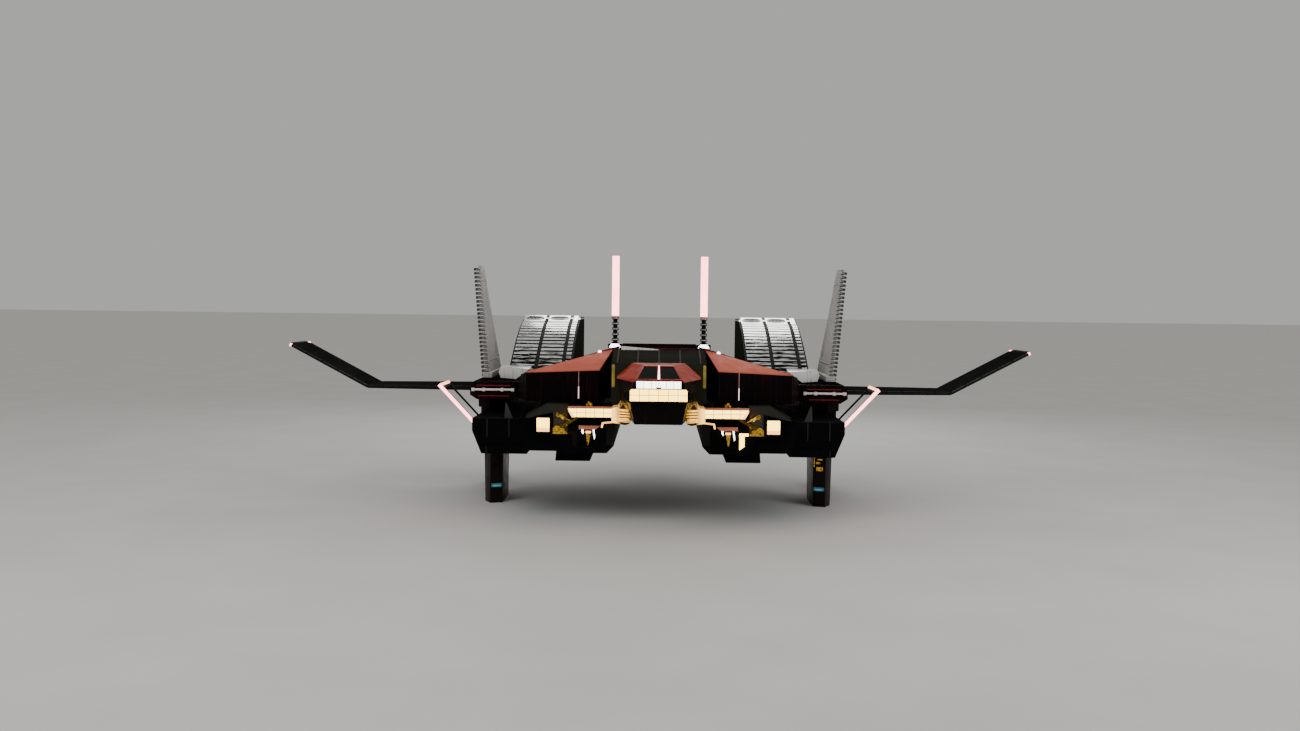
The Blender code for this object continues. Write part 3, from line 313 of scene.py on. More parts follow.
@dataclass(frozen=True)
class LampLitGilt:
    """A gilded casting with the lamp beside it painted in: it glows pale cream at the lamp and gold farther in, with
    painted shade on faces turned away and in dark lines.
    """

    name: str
    near: str
    far: str
    dark: str
    fade: Span
    glow: float
    # Least share of painted shade lines; one puts the lines all over.
    shade_line_floor: float = 0.0

    def dress(self, surface: Surface) -> None:
        """Lays the finish on a surface."""
        # Painted lamplight: pale cream out towards the lamp, gold farther in towards the middle.
        across = add_node(surface.tree, "ShaderNodeSeparateXYZ", {"Vector": surface.place}).outputs["X"]
        reach = add_node(surface.tree, "ShaderNodeMath", {0: across}, operation="ABSOLUTE").outputs[0]
        normal = add_node(surface.tree, "ShaderNodeTexCoord").outputs["Normal"]
        facing = add_node(surface.tree, "ShaderNodeSeparateXYZ", {"Vector": normal}).outputs["Y"]
        # Painted shade on faces turned away from the front.
        away = surface.spread(facing, 0.0, 0.8, -0.9, -0.1)
        share = surface.spread(reach, 1.0, 0.0, *self.fade)
        share = add_node(surface.tree, "ShaderNodeMath", {0: share, 1: away}, operation="MAXIMUM").outputs[0]
        tone = surface.mix(share, self.near, self.far)
        # Painted shade: dark lines on the shaded share, and all over when the floor is one.
        shade_lines = surface.spread(surface.noise(34, 4.0, (2, 5, 1)), 0.0, 0.9, 0.48, 0.66)
        shade_share = add_node(surface.tree, "ShaderNodeMath", {0: share, 1: self.shade_line_floor}, operation="MAXIMUM").outputs[0]
        line = add_node(surface.tree, "ShaderNodeMath", {0: shade_lines, 1: shade_share}, operation="MULTIPLY").outputs[0]
        colour = surface.mix(line, tone, self.dark)
        surface.link("Base Color", colour)
        surface.link("Emission Color", colour)
        surface.set(Metallic=1.0, Emission_Strength=self.glow)
        surface.link("Roughness", surface.spread(surface.noise(60, 3.0), 0.22, 0.42))
        surface.relief(surface.noise(40, 3.0, (2, 5, 1)), 1.5, 0.35)


@dataclass(frozen=True)
class SmokedGlass:
    """Smoked laminated glass with a coating that kills its reflections, so it stays dark at a flat angle."""

    name: str
    colour: str

    def dress(self, surface: Surface) -> None:
        """Lays the finish on a surface."""
        smear = surface.noise(300, 3.0)
        surface.link("Roughness", surface.spread(smear, 0.02, 0.12))
        surface.link("Base Color", surface.mix(smear, self.colour, "1A1918"))
        surface.set(IOR=1.008, Transmission_Weight=0.35)


@dataclass(frozen=True)
class WovenCloth:
    """Hard-wearing woven cloth. Its threads are under a millimetre, and are drawn coarser, so that they show."""

    name: str
    colour: str
    shade: str
    thread_mm: float = 6.0

    def dress(self, surface: Surface) -> None:
        """Lays the finish on a surface."""
        waves = []
        for direction in ("X", "Z"):
            wave = add_node(
                surface.tree, "ShaderNodeTexWave",
                {"Vector": surface.place, "Scale": 1000 / self.thread_mm / 20, "Distortion": 0.4},
                bands_direction=direction,
            )
            waves.append(wave.outputs["Fac"])
        weave = add_node(surface.tree, "ShaderNodeMath", {0: waves[0], 1: waves[1]}, operation="MULTIPLY")
        fade = surface.spread(surface.noise(120, 3.0), 0.0, 0.6)
        base = surface.mix(fade, self.colour, self.shade)
        surface.link("Base Color", surface.mix(weave.outputs[0], base, self.shade))
        surface.set(Roughness=0.85, Sheen_Weight=0.3, Sheen_Roughness=0.5)
        surface.relief(weave.outputs[0], 0.8, 0.5)


@dataclass(frozen=True)
class MouldedRubber:
    """Moulded rubber or satin plastic: dull, nearly even, with a fine moulded grain."""

    name: str
    colour: str
    roughness: float = 0.6

    def dress(self, surface: Surface) -> None:
        """Lays the finish on a surface."""
        dust = surface.spread(surface.noise(150, 3.0), 0.0, 0.5)
        surface.link("Base Color", surface.mix(dust, self.colour, "1D1C1B"))
        surface.set(Specular_IOR_Level=0.12)
        surface.link("Roughness", surface.spread(surface.noise(40, 3.0), self.roughness * 0.85, self.roughness * 1.15))
        surface.relief(surface.noise(3, 2.0), 0.3, 0.3)


@dataclass(frozen=True)
class PaleFloor:
    """A cast studio floor, matt and pale, with a faint trowelled cloud."""

    name: str
    colour: str
    shade: str

    def dress(self, surface: Surface) -> None:
        """Lays the finish on a surface."""
        cloud = surface.spread(surface.noise(2500, 3.0), 0.0, 1.0)
        surface.link("Base Color", surface.mix(cloud, self.colour, self.shade))
        surface.set(Roughness=1.0, Specular_IOR_Level=0.0)


class Paint(Enum):
    """The craft's finishes."""

    RED = Enamel("red_enamel", "D4705A", "C4604B", 0.55, specular=0.04, panel_mm=900)
    SCARLET = Enamel("scarlet_enamel", "A83E2A", "943222", 0.55, specular=0.04, panel_mm=600)
    # Painted reflection: its streak colour stands for dark red glossy streaks, as the paint has next to no specular.
    MAROON = Enamel("maroon_enamel", "10060A", "070304", 0.50, specular=0.03, streak="3A0E0E")
    BLACK = Enamel("black_enamel", "0D0E0F", "080909", 0.62, specular=0.015, panel_mm=1100)
    PANEL = Enamel("dark_wing_enamel", "141414", "0C0C0C", 0.42, specular=0.06, panel_mm=800)
    GREY = BareMetal("milled_grey_alloy", "9A9A98", "7E7E7C", 0.36, (1, 1, 14), 12)
    STEEL = BareMetal("bright_rolled_steel", "C9CBC7", "8E918B", 0.16, (16, 1, 1), 10)
    DARK_STEEL = BareMetal("blued_steel", "1A1C1B", "0F1010", 0.34, (1, 8, 1), 10)
    BRASS = BareMetal("polished_brass", "D8A640", "6E4A12", 0.24, (1, 1, 1), 14, 70)
    BRONZE = Enamel("bronze_lacquer", "1E1512", "110C0A", 0.34, specular=0.08, streak="34201A")
    RUBBER = MouldedRubber("black_rubber", "0B0B0B")
    CLOTH = WovenCloth("seat_cloth", "3A3733", "24211F")
    GLASS = SmokedGlass("smoked_glass", "0A0A09")
    WARM = LitLens("warm_lens", "FFD45A", "FFCB4A", 6.8)
    CREAM = LitLens("cream_lens", "FFBE78", "F5A850", 4.0)
    WHITE = LitLens("white_lens", "FFFDF2", "EEF4FF", 6.0)
    PINK = LitLens("pink_lens", "FF9CA2", "FF8E94", 8.0, 400)
    PINK_DIM = LitLens("dim_pink_lens", "C89498", "A86C70", 0.7, 120)
    PEARL = LitLens("pearl_lens", "FFE4E0", "F4CCC8", 2.0, 120)
    ROSE = LitLens("rose_edge_lens", "E0404A", "A81E28", 1.2)
    TEAL = LitLens("teal_lens", "39D6E6", "1FA8C0", 6.0)
    TEAL_DIM = LitLens("teal_screen", "187078", "0C3A42", 0.7, 60)
    TEAL_BAR = LitLens("teal_bar_lens", "3FA8BC", "2C8498", 0.9, 60)
    # Painted reflection: a glow for lamplight seen on the trunk's edge.
    OLIVE = LitLens("olive_amber_reflection_glow", "9A8418", "6A5A0C", 0.9, 120)
    # Painted lamplight on the works' back wall, which is no lamp.
    AMBER_DIM = LitLens("amber_lamplit_wall", "3A2808", "140E04", 0.12, 50)
    GILT = LampLitGilt("lamp_lit_gilt", "FFC468", "1E1204", "120A02", (0.84, 0.98), 3.0)
    FINGER = LampLitGilt("lamp_lit_finger_gilt", "FFD07A", "A8741A", "3A240A", (0.60, 0.92), 1.9)
    DULL_BRASS = BareMetal("dull_brass", "8A6A28", "3A2A0E", 0.34, (1, 1, 1), 14, 70)
    BLUSH = Enamel("blush_enamel", "E0937E", "CE7C68", 0.45, specular=0.08)
    CRIMSON = Enamel("crimson_enamel", "560C14", "34060C", 0.30, coat=0.05, specular=0.12)
    CHEEK = Enamel("dark_cheek_enamel", "0C0707", "050303", 0.32, specular=0.06, streak="2A0F0E")
    GUNMETAL = Enamel("gunmetal_enamel", "2F322B", "262822", 0.75, specular=0.0, panel_mm=600)
    PYLON = Enamel("grey_brown_enamel", "1D1816", "151110", 0.70, specular=0.01)
    ROOF = Enamel("grey_roof_enamel", "35352F", "2A2A25", 0.48, specular=0.05)
    GUSSET = Enamel("grey_gusset_enamel", "3E3E3D", "343433", 0.60, specular=0.02)
    POD = Enamel("dark_pod_enamel", "100808", "070404", 0.22, coat=0.02, specular=0.05, streak="2E1210")
    WING = Enamel("wing_top_enamel", "242423", "1A1A1A", 0.80, specular=0.0, panel_mm=500)
    DECK = Enamel("black_deck_enamel", "140D0E", "0C0809", 0.85, specular=0.0, panel_mm=700)
    TOP = Enamel("maroon_deck_enamel", "1C0C0E", "120709", 0.75, specular=0.0, panel_mm=700)
    FIN = Enamel("pale_grey_enamel", "B0B1AC", "969792", 0.45, specular=0.2)
    # Painted highlight: the red glints on the pods.
    RUBY = Enamel("ruby_enamel", "8A1828", "5A0E18", 0.30, coat=0.1, specular=0.2)
    # Painted highlight: white enamel for pieces that stand for glints.
    RAIL = Enamel("white_highlight_enamel", "FFFCFA", "E6DCDC", 0.20, coat=0.3, specular=0.5, streak="7A4450")
    FAIRING = Enamel("white_fairing_enamel", "F4F4EE", "CFCFC8", 0.22, coat=0.3, specular=0.5, streak="2E302D")
    RIB = Enamel("grey_rib_enamel", "505050", "40403E", 0.50, specular=0.05)
    SEAM = Enamel("grey_seam_enamel", "50504E", "42423F", 0.60, specular=0.0)
    COAMING = Enamel("coaming_enamel", "4A2226", "341618", 0.60, specular=0.02)
    # Painted lamplight: a dimmer glowing gilt for the glints on the works, claw, knob, ladder and device tip.
    OLD_GILT = LampLitGilt("old_gilt", "B48A2C", "5E460C", "140C02", (0.0, 0.1), 0.55, 1.0)
    CHROME = BareMetal("polished_chromed_steel", "E4E6E1", "B0B3AC", 0.10, (16, 1, 1), 14)
    # Painted reflection streaks in the colour, lighter towards the crown.
    COWL = StreakedChrome("streaked_cowl_steel", "FFFFFD", "1E201E", 0.12, 3.25, 4.70)
    FLOOR = PaleFloor("pale_studio_floor", "E4E3E0", "DEDDDA")

    def material(self) -> bpy.types.Material:
        """Returns this finish's material, made once."""
        name = self.value.name + "_finish"
        if name not in bpy.data.materials:
            self.value.dress(Surface(name))
        return bpy.data.materials[name]


class Side(Enum):
    """The two sides of the craft."""

    PORT = 1
    STARBOARD = -1

    @property
    def word(self) -> str:
        """The side's name in node and body names."""
        return self.name.lower()

    def hand(self, mesh: bpy.types.Mesh) -> None:
        """Mirrors a port mesh to this side."""
        if self is Side.STARBOARD:
            mesh.transform(Matrix.Diagonal((-1, 1, 1, 1)))
            mesh.flip_normals()


# Mesh helpers

def box(low: Point, high: Point) -> Corners:
    """The corners of an upright box."""
    return [(x, y, z) for x in (low[0], high[0]) for y in (low[1], high[1]) for z in (low[2], high[2])]


def prism(stations: Point, outline: Iterable[Point]) -> Corners:
    """The corners of a front-view outline of x and z, drawn between two stations."""
    return [(x, y, z) for y in stations for x, z in outline]


def slab(outline: Iterable[Point], levels: Point) -> Corners:
    """The corners of a plan outline of x and y, drawn between two levels."""
    return [(x, y, z) for x, y in outline for z in levels]


def bar(start: Point, end: Point, width: float, depth: float, up: Point = (0, 0, 1)) -> Corners:
    """The corners of a straight bar of rectangular section.

    Args:
        start: Middle of its first end.
        end: Middle of its last end.
        width: Size across both its length and up.
        depth: Size along up.
        up: Direction of its depth.

    Returns:
        Its eight corners.
    """
    axis = (Vector(end) - Vector(start)).normalized()
    across = axis.cross(Vector(up)).normalized()
    rise = across.cross(axis)
    return [
        Vector(point) + across * a + rise * b
        for point in (start, end) for a in (-width / 2, width / 2) for b in (-depth / 2, depth / 2)
    ]


def add_hull(bm: Solid, corners: Iterable[Point]) -> None:
    """Adds a flat-faced solid drawn tight round its corners.

    Args:
        bm: The mesh that takes it.
        corners: Its corners, and any points inside it.
    """
    verts = [bm.verts.new(corner) for corner in corners]
    result = bmesh.ops.convex_hull(bm, input=verts)
    spare = [v for v in result["geom_interior"] if isinstance(v, bmesh.types.BMVert)]
    bmesh.ops.delete(bm, geom=spare, context="VERTS")


def solids(parts: Iterable[Corners]) -> Solid:
    """One mesh of flat-faced solids.

    Args:
        parts: The corners of each of them.

    Returns:
        The mesh.
    """
    bm = bmesh.new()
    for corners in parts:
        add_hull(bm, corners)
    return bm


def add_rod(bm: Solid, start: Point, end: Point, radius: float, sides: int) -> None:
    """Adds a round bar between two points.

    Args:
        bm: The mesh that takes it.
        start: Middle of its first end.
        end: Middle of its last end.
        radius: Its radius.
        sides: How many faces it has round it.
    """
    axis = Vector(end) - Vector(start)
    turn = Vector((0, 0, 1)).rotation_difference(axis).to_matrix().to_4x4()
    place = Matrix.Translation((Vector(start) + Vector(end)) / 2) @ turn
    bmesh.ops.create_cone(
        bm, cap_ends=True, segments=sides, radius1=radius, radius2=radius, depth=axis.length, matrix=place
    )


def add_ring(bm: Solid, centre: Point, axis: Point, radii: tuple[float, float], height: float, sides: int) -> None:
    """Adds a flat ring of rectangular section round an axis.

    Args:
        bm: The mesh that takes it.
        centre: Its middle.
        axis: Direction of its height.
        radii: Its inner and outer radius.
        height: Its size along the axis.
        sides: How many faces it has round it.
    """
    turn = Vector((0, 0, 1)).rotation_difference(Vector(axis)).to_matrix().to_4x4()
    place = Matrix.Translation(centre) @ turn
    inner, outer = radii
    rows = []
    for radius, z in ((inner, -height / 2), (outer, -height / 2), (outer, height / 2), (inner, height / 2)):
        angles = [math.tau * i / sides for i in range(sides)]
        rows.append([bm.verts.new(place @ Vector((radius * math.cos(a), radius * math.sin(a), z))) for a in angles])
    for near, far in zip(rows, rows[1:] + rows[:1]):
        for i in range(sides):
            j = (i + 1) % sides
            bm.faces.new((near[i], near[j], far[j], far[i]))


def add_ball(bm: Solid, centre: Point, radius: float, sides: int, stretch: Point = (1, 1, 1)) -> None:
    """Adds a ball or a flattened ball.

    Args:
        bm: The mesh that takes it.
        centre: Its middle.
        radius: Its radius before it is stretched.
        sides: How many faces it has round it.
        stretch: Its stretch along x, y and z.
    """
    verts = bmesh.ops.create_uvsphere(bm, u_segments=sides, v_segments=sides // 2, radius=radius)["verts"]
    bmesh.ops.scale(bm, vec=stretch, verts=verts)
    bmesh.ops.translate(bm, vec=centre, verts=verts)


def from_node(name: str) -> Solid:
    """A merged copy of a CAD node's mesh.

    Args:
        name: The node's name.

    Returns:
        The copy, with its flat faces joined.
    """
    bm = bmesh.new()
    bm.from_mesh(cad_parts[name].data)
    bmesh.ops.remove_doubles(bm, verts=bm.verts, dist=MERGE_DISTANCE)
    bmesh.ops.dissolve_limit(bm, angle_limit=math.radians(FLAT_DEGREES), verts=bm.verts, edges=bm.edges)
    return bm


def soften(bm: Solid, width: float, segments: int = 2, angle: float = 25.0) -> None:
    """Rounds the edges that are sharper than an angle."""
    edges = [e for e in bm.edges if e.is_manifold and e.calc_face_angle(0) > math.radians(angle)]
    bmesh.ops.bevel(bm, geom=edges, offset=width, segments=segments, affect="EDGES", clamp_overlap=True, profile=0.6)


def set_back(bm: Solid, front: float, depth: float) -> None:
    """Moves the front face of a lamp's tray back behind its lens.

    Args:
        bm: The tray.
        front: Station of its front face.
        depth: How far that face moves.
    """
    for vert in bm.verts:
        if vert.co.y < front + FACE_REACH:
            vert.co.y += depth


def as_object(name: str, bm: Solid, paint: Paint, smooth: float = 32.0) -> bpy.types.Object:
    """Turns a bmesh into a shaded object in the scene.

    Args:
        name: The object's name.
        bm: Its mesh, which is freed.
        paint: Its finish.
        smooth: Edges flatter than this are shaded smooth.

    Returns:
        The object.
    """
    mesh = plain_mesh(bm)
    mesh.name = name
    mesh.materials.clear()
    mesh.materials.append(paint.material())
    mesh.shade_smooth()
    mesh.set_sharp_from_angle(angle=math.radians(smooth))
    item = bpy.data.objects.new(name, mesh)
    bpy.context.scene.collection.objects.link(item)
    return item


def plain_mesh(bm: Solid) -> bpy.types.Mesh:
    """The mesh of a bmesh, which is freed."""
    mesh = bpy.data.meshes.new("plain")
    bm.to_mesh(mesh)
    bm.free()
    return mesh


def evaluated_mesh(item: bpy.types.Object) -> bpy.types.Mesh:
    """The plain mesh of an object with its modifiers."""
    bpy.context.view_layer.update()
    return bpy.data.meshes.new_from_object(item.evaluated_get(bpy.context.evaluated_depsgraph_get()))


def take_mesh(*items: bpy.types.Object) -> Solid:
    """Takes the mesh of the first of some working objects with its modifiers, and removes them all.

    Args:
        *items: The working objects.

    Returns:
        The mesh.
    """
    mesh = evaluated_mesh(items[0])
    bm = bmesh.new()
    bm.from_mesh(mesh)
    for item in items:
        item.modifiers.clear()
        bpy.data.objects.remove(item, do_unlink=True)
    bpy.data.meshes.remove(mesh)
    return bm


def carve(bm: Solid, cuts: Iterable[Corners]) -> Solid:
    """Cuts a mesh by flat-faced solids.

    Args:
        bm: The mesh, which is freed.
        cuts: The corners of each solid that is cut away.

    Returns:
        What is left.
    """
    carved, cutter = as_object("carved", bm, Paint.BLACK), as_object("cutter", solids(cuts), Paint.BLACK)
    step = carved.modifiers.new("Cut", "BOOLEAN")
    step.operation = "DIFFERENCE"
    step.solver = "EXACT"
    step.use_self = True
    step.object = cutter
    return take_mesh(carved, cutter)


# Repeated units, made by Geometry Nodes

class UnitShape(Enum):
    """Shapes of a repeated unit."""

    BLOCK = "GeometryNodeMeshCube"
    STUD = "GeometryNodeMeshCylinder"


@dataclass(frozen=True)
class UnitGrid:
    """Rows of equal units on a regular grid, such as studs, slats, keys and teeth."""

    start: Place
    step: Place
    count: int
    size: Place
    row_step: Place = (0.0, 0.0, 0.0)
    rows: int = 1
    turn: Place = (0.0, 0.0, 0.0)
    taper: float = 1.0
    shape: UnitShape = UnitShape.BLOCK
    sides: int = 10

    def tree(self) -> Graph:
        """Builds the node tree with named inputs.

        Returns:
            The tree, which ends in plain geometry with its material set.
        """
        tree = bpy.data.node_groups.new("unit_grid", "GeometryNodeTree")
        ports = (
            ("Start", "Vector"), ("Step", "Vector"), ("Count", "Int"), ("Row Step", "Vector"), ("Rows", "Int"),
            ("Size", "Vector"), ("Turn", "Vector"), ("Taper", "Float"), ("Finish", "Material"),
        )
        for name, kind in ports:
            tree.interface.new_socket(name, in_out="INPUT", socket_type="NodeSocket" + kind)
        tree.interface.new_socket("Geometry", in_out="OUTPUT", socket_type="NodeSocketGeometry")
        given = add_node(tree, "NodeGroupInput").outputs
        index = add_node(tree, "GeometryNodeInputIndex").outputs["Index"]
        step = add_node(tree, "ShaderNodeMath", {0: index, 1: given["Count"]}, operation="MODULO")
        width = add_node(tree, "ShaderNodeMapRange", {
            "Value": step.outputs[0], "From Min": 0.0, "From Max": given["Count"],
            "To Min": 1.0, "To Max": given["Taper"],
        })
        scale = add_node(tree, "ShaderNodeCombineXYZ", {"X": width.outputs["Result"], "Y": 1.0, "Z": 1.0})
        line = add_node(tree, "GeometryNodeMeshLine", {
            "Count": given["Count"], "Start Location": given["Start"], "Offset": given["Step"],
        })
        rows = add_node(tree, "GeometryNodeMeshLine", {"Count": given["Rows"], "Offset": given["Row Step"]})
        grid = add_node(tree, "GeometryNodeInstanceOnPoints", {
            "Points": rows.outputs["Mesh"], "Instance": line.outputs["Mesh"],
        })
        points = add_node(tree, "GeometryNodeRealizeInstances", {"Geometry": grid.outputs["Instances"]})
        if self.shape is UnitShape.BLOCK:
            unit = add_node(tree, self.shape.value, {"Size": given["Size"]})
        else:
            parts = add_node(tree, "ShaderNodeSeparateXYZ", {"Vector": given["Size"]})
            unit = add_node(tree, self.shape.value, {
                "Radius": parts.outputs["X"], "Depth": parts.outputs["Z"], "Vertices": self.sides,
            })
        turn = add_node(tree, "FunctionNodeEulerToRotation", {"Euler": given["Turn"]})
        placed = add_node(tree, "GeometryNodeInstanceOnPoints", {
            "Points": points.outputs["Geometry"], "Instance": unit.outputs["Mesh"],
            "Rotation": turn.outputs["Rotation"], "Scale": scale.outputs["Vector"],
        })
        solid = add_node(tree, "GeometryNodeRealizeInstances", {"Geometry": placed.outputs["Instances"]})
        dressed = add_node(tree, "GeometryNodeSetMaterial", {
            "Geometry": solid.outputs["Geometry"], "Material": given["Finish"],
        })
        add_node(tree, "NodeGroupOutput", {"Geometry": dressed.outputs["Geometry"]})
        return tree

    def mesh(self, paint: Paint) -> Solid:
        """Runs the tree.

        Args:
            paint: The units' finish.

        Returns:
            The units as one plain mesh.
        """
        tree = self.tree()
        values = {
            "Start": self.start, "Step": self.step, "Count": self.count, "Row Step": self.row_step,
            "Rows": self.rows, "Size": self.size, "Turn": self.turn, "Taper": self.taper, "Finish": paint.material(),
        }
        item = bpy.data.objects.new("seed", bpy.data.meshes.new("seed"))
        bpy.context.scene.collection.objects.link(item)
        step = item.modifiers.new("Units", "NODES")
        step.node_group = tree
        for port in tree.interface.items_tree:
            if port.in_out == "INPUT":
                step[port.identifier] = values[port.name]
        item.update_tag()
        bm = take_mesh(item)
        bpy.data.node_groups.remove(tree)
        return bm


# Sub-assemblies

@dataclass
class Assembly:
    """One sub-assembly of the craft, on one side or across the middle."""

    side: Side = Side.PORT
    sided: bool = True

    def node(self, name: str) -> str:
        """The full name of this assembly's piece, CAD node or body."""
        return f"{name}_{self.side.word}" if self.sided else name

    def put(
        self, name: str, bm: Solid, paint: Paint, slot: str, body: str = "hull", replaces: str = "",
        smooth: float = 32.0,
    ) -> None:
        """Adds a piece to the craft.

        Args:
            name: The piece's name, without its side.
            bm: Its mesh, on the port side.
            paint: Its finish.
            slot: Not used.
            body: The body that it rides on, without its side.
            replaces: The CAD node that it stands for, without its side.
            smooth: Edges flatter than this are shaded smooth.
        """
        item = as_object(self.node(name), bm, paint, smooth)
        self.side.hand(item.data)
        carrier = body if body == "hull" else self.node(body)
        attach(item, carrier)
        if replaces:
            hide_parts(self.node(replaces))
        LOG.info("%s on %s, %d faces", item.name, carrier, len(item.data.polygons))

    def solid(
        self, name: str, paint: Paint, slot: str, *parts: Corners, soft: tuple[float, int] | None = None, **how: object
    ) -> None:
        """Adds a piece made of flat-faced solids.

        Args:
            name: The piece's name, without its side.
            paint: Its finish.
            slot: Passed on to put.
            *parts: The corners of each solid.
            soft: Width of its rounded edges, and the number of faces across them.
            **how: Body, replaced node and shading, as put takes them.
        """
        bm = solids(parts)
        if soft:
            soften(bm, *soft)
        self.put(name, bm, paint, slot, **how)

    def units(self, name: str, paint: Paint, slot: str, grid: UnitGrid, body: str = "hull") -> None:
        """Adds a piece made of repeated units."""
        self.put(name, grid.mesh(paint), paint, slot, body)

    def copy(self, name: str) -> Solid:
        """A merged copy of a CAD node, on the port side.

        Args:
            name: The node's name, without its side.

        Returns:
            The copy.
        """
        bm = from_node(self.node(name))
        if self.side is Side.STARBOARD:
            bmesh.ops.scale(bm, vec=(-1, 1, 1), verts=bm.verts)
            bmesh.ops.reverse_faces(bm, faces=bm.faces)
        return bm

    def skin(
        self, name: str, paint: Paint, slot: str, width: float, segments: int = 2, angle: float = 25.0, **how: object
    ) -> None:
        """Replaces a CAD node by a copy with rounded edges.

        Args:
            name: The node's name, without its side.
            paint: The copy's finish.
            slot: Passed on to put.
            width: Width of its rounded edges.
            segments: Number of faces across them.
            angle: Edges flatter than this stay as they are.
            **how: Body and shading, as put takes them.
        """
        bm = self.copy(name)
        soften(bm, width, segments, angle)
        self.put(name + "_skin", bm, paint, slot, replaces=name, **how)


@dataclass
class LampPanel(Assembly):
    """A lamp made of lit cells on a dark tray, drawn from its CAD node's outline."""

    node_name: str = ""
    slot: str = "warm_light"
    paint: Paint = Paint.WARM
    columns: int = 6
    rows: int = 2
    divider: float = 0.012
    tray_depth: float = 0.014
    corner: float = 0.010
    trim: tuple[float, float, float, float] = (0.0, 0.0, 0.0, 0.0)

    def build(self) -> None:
        """Makes the tray and the cells, held back from its edges by the trim: low x, high x, bottom and top."""
        low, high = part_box(self.node(self.node_name))
        if self.side is Side.STARBOARD:
            low, high = (-high[0], low[1], low[2]), (-low[0], high[1], high[2])
        tray = self.copy(self.node_name)
        cells = tray.copy()
        set_back(tray, low[1], self.tray_depth)
        before, beyond = [v - 1 for v in low], [v + 1 for v in high]
        bars = []
        for axis, count, trim in ((0, self.columns, self.trim[:2]), (2, self.rows, self.trim[2:])):
            first, last = low[axis] + trim[0], high[axis] - trim[1]
            for i in range(count + 1):
                place = first + (last - first) * i / count
                start, end = list(before), list(beyond)
                if i > 0:
                    start[axis] = place - self.divider / 2
                if i < count:
                    end[axis] = place + self.divider / 2
                bars.append(box(start, end))
        bars.append(box((before[0], low[1] + self.tray_depth + 0.006, before[2]), beyond))
        cells = carve(cells, bars)
        soften(cells, self.corner, 2)
        soften(tray, 0.006, 1)
        self.put(self.node_name + "_tray", tray, Paint.DARK_STEEL, self.slot, replaces=self.node_name)
        self.put(self.node_name + "_cells", cells, self.paint, self.slot)


@dataclass
class LampBarEnds(Assembly):
    """The lamp bar's blushed top rail, and the lit wedge that squares its slanted outer end."""

    front_y: float = -4.90
    back_y: float = -4.6003
    rail: Outline = ((1.045, 2.772), (2.058, 2.764), (2.058, 2.8005), (1.045, 2.8005))
    wedge: Outline = ((1.895, 2.556), (1.965, 2.556), (2.045, 2.69), (2.056, 2.748), (2.052, 2.748))

    def build(self) -> None:
        """Makes the rail and the wedge."""
        rail = prism((self.front_y - 0.001, self.front_y + 0.10), self.rail)
        self.solid("lamp_bar_rail", Paint.BLUSH, "warm_light", rail, soft=(0.004, 2))
        wedge = prism((self.front_y + 0.002, self.back_y), self.wedge)
        self.solid("lamp_bar_end_lens", Paint.CREAM, "warm_light", wedge, soft=(0.006, 2))


@dataclass
class Headlamp(Assembly):
    """The headlamp: a dark tray and a rounded lens with a deeper band along its foot."""

    lens_x: Span = (2.502, 2.792)
    lens_z: Span = (2.188, 2.500)
    band_z: float = 2.276
    front_y: float = -4.62

    def build(self) -> None:
        """Makes the tray and the lens."""
        tray = self.copy("headlamp")
        set_back(tray, self.front_y, 0.02)
        soften(tray, 0.006, 1)
        self.put("headlamp_tray", tray, Paint.RUBBER, "warm_light", replaces="headlamp")
        for name, z0, z1, paint in (
            ("headlamp_lens", self.band_z, self.lens_z[1], Paint.WARM),
            ("headlamp_foot_lens", self.lens_z[0], self.band_z - 0.001, Paint.CREAM),
        ):
            lens = box((self.lens_x[0], self.front_y, z0), (self.lens_x[1], self.front_y + 0.03, z1))
            self.solid(name, paint, "warm_light", lens, soft=(0.012, 3))


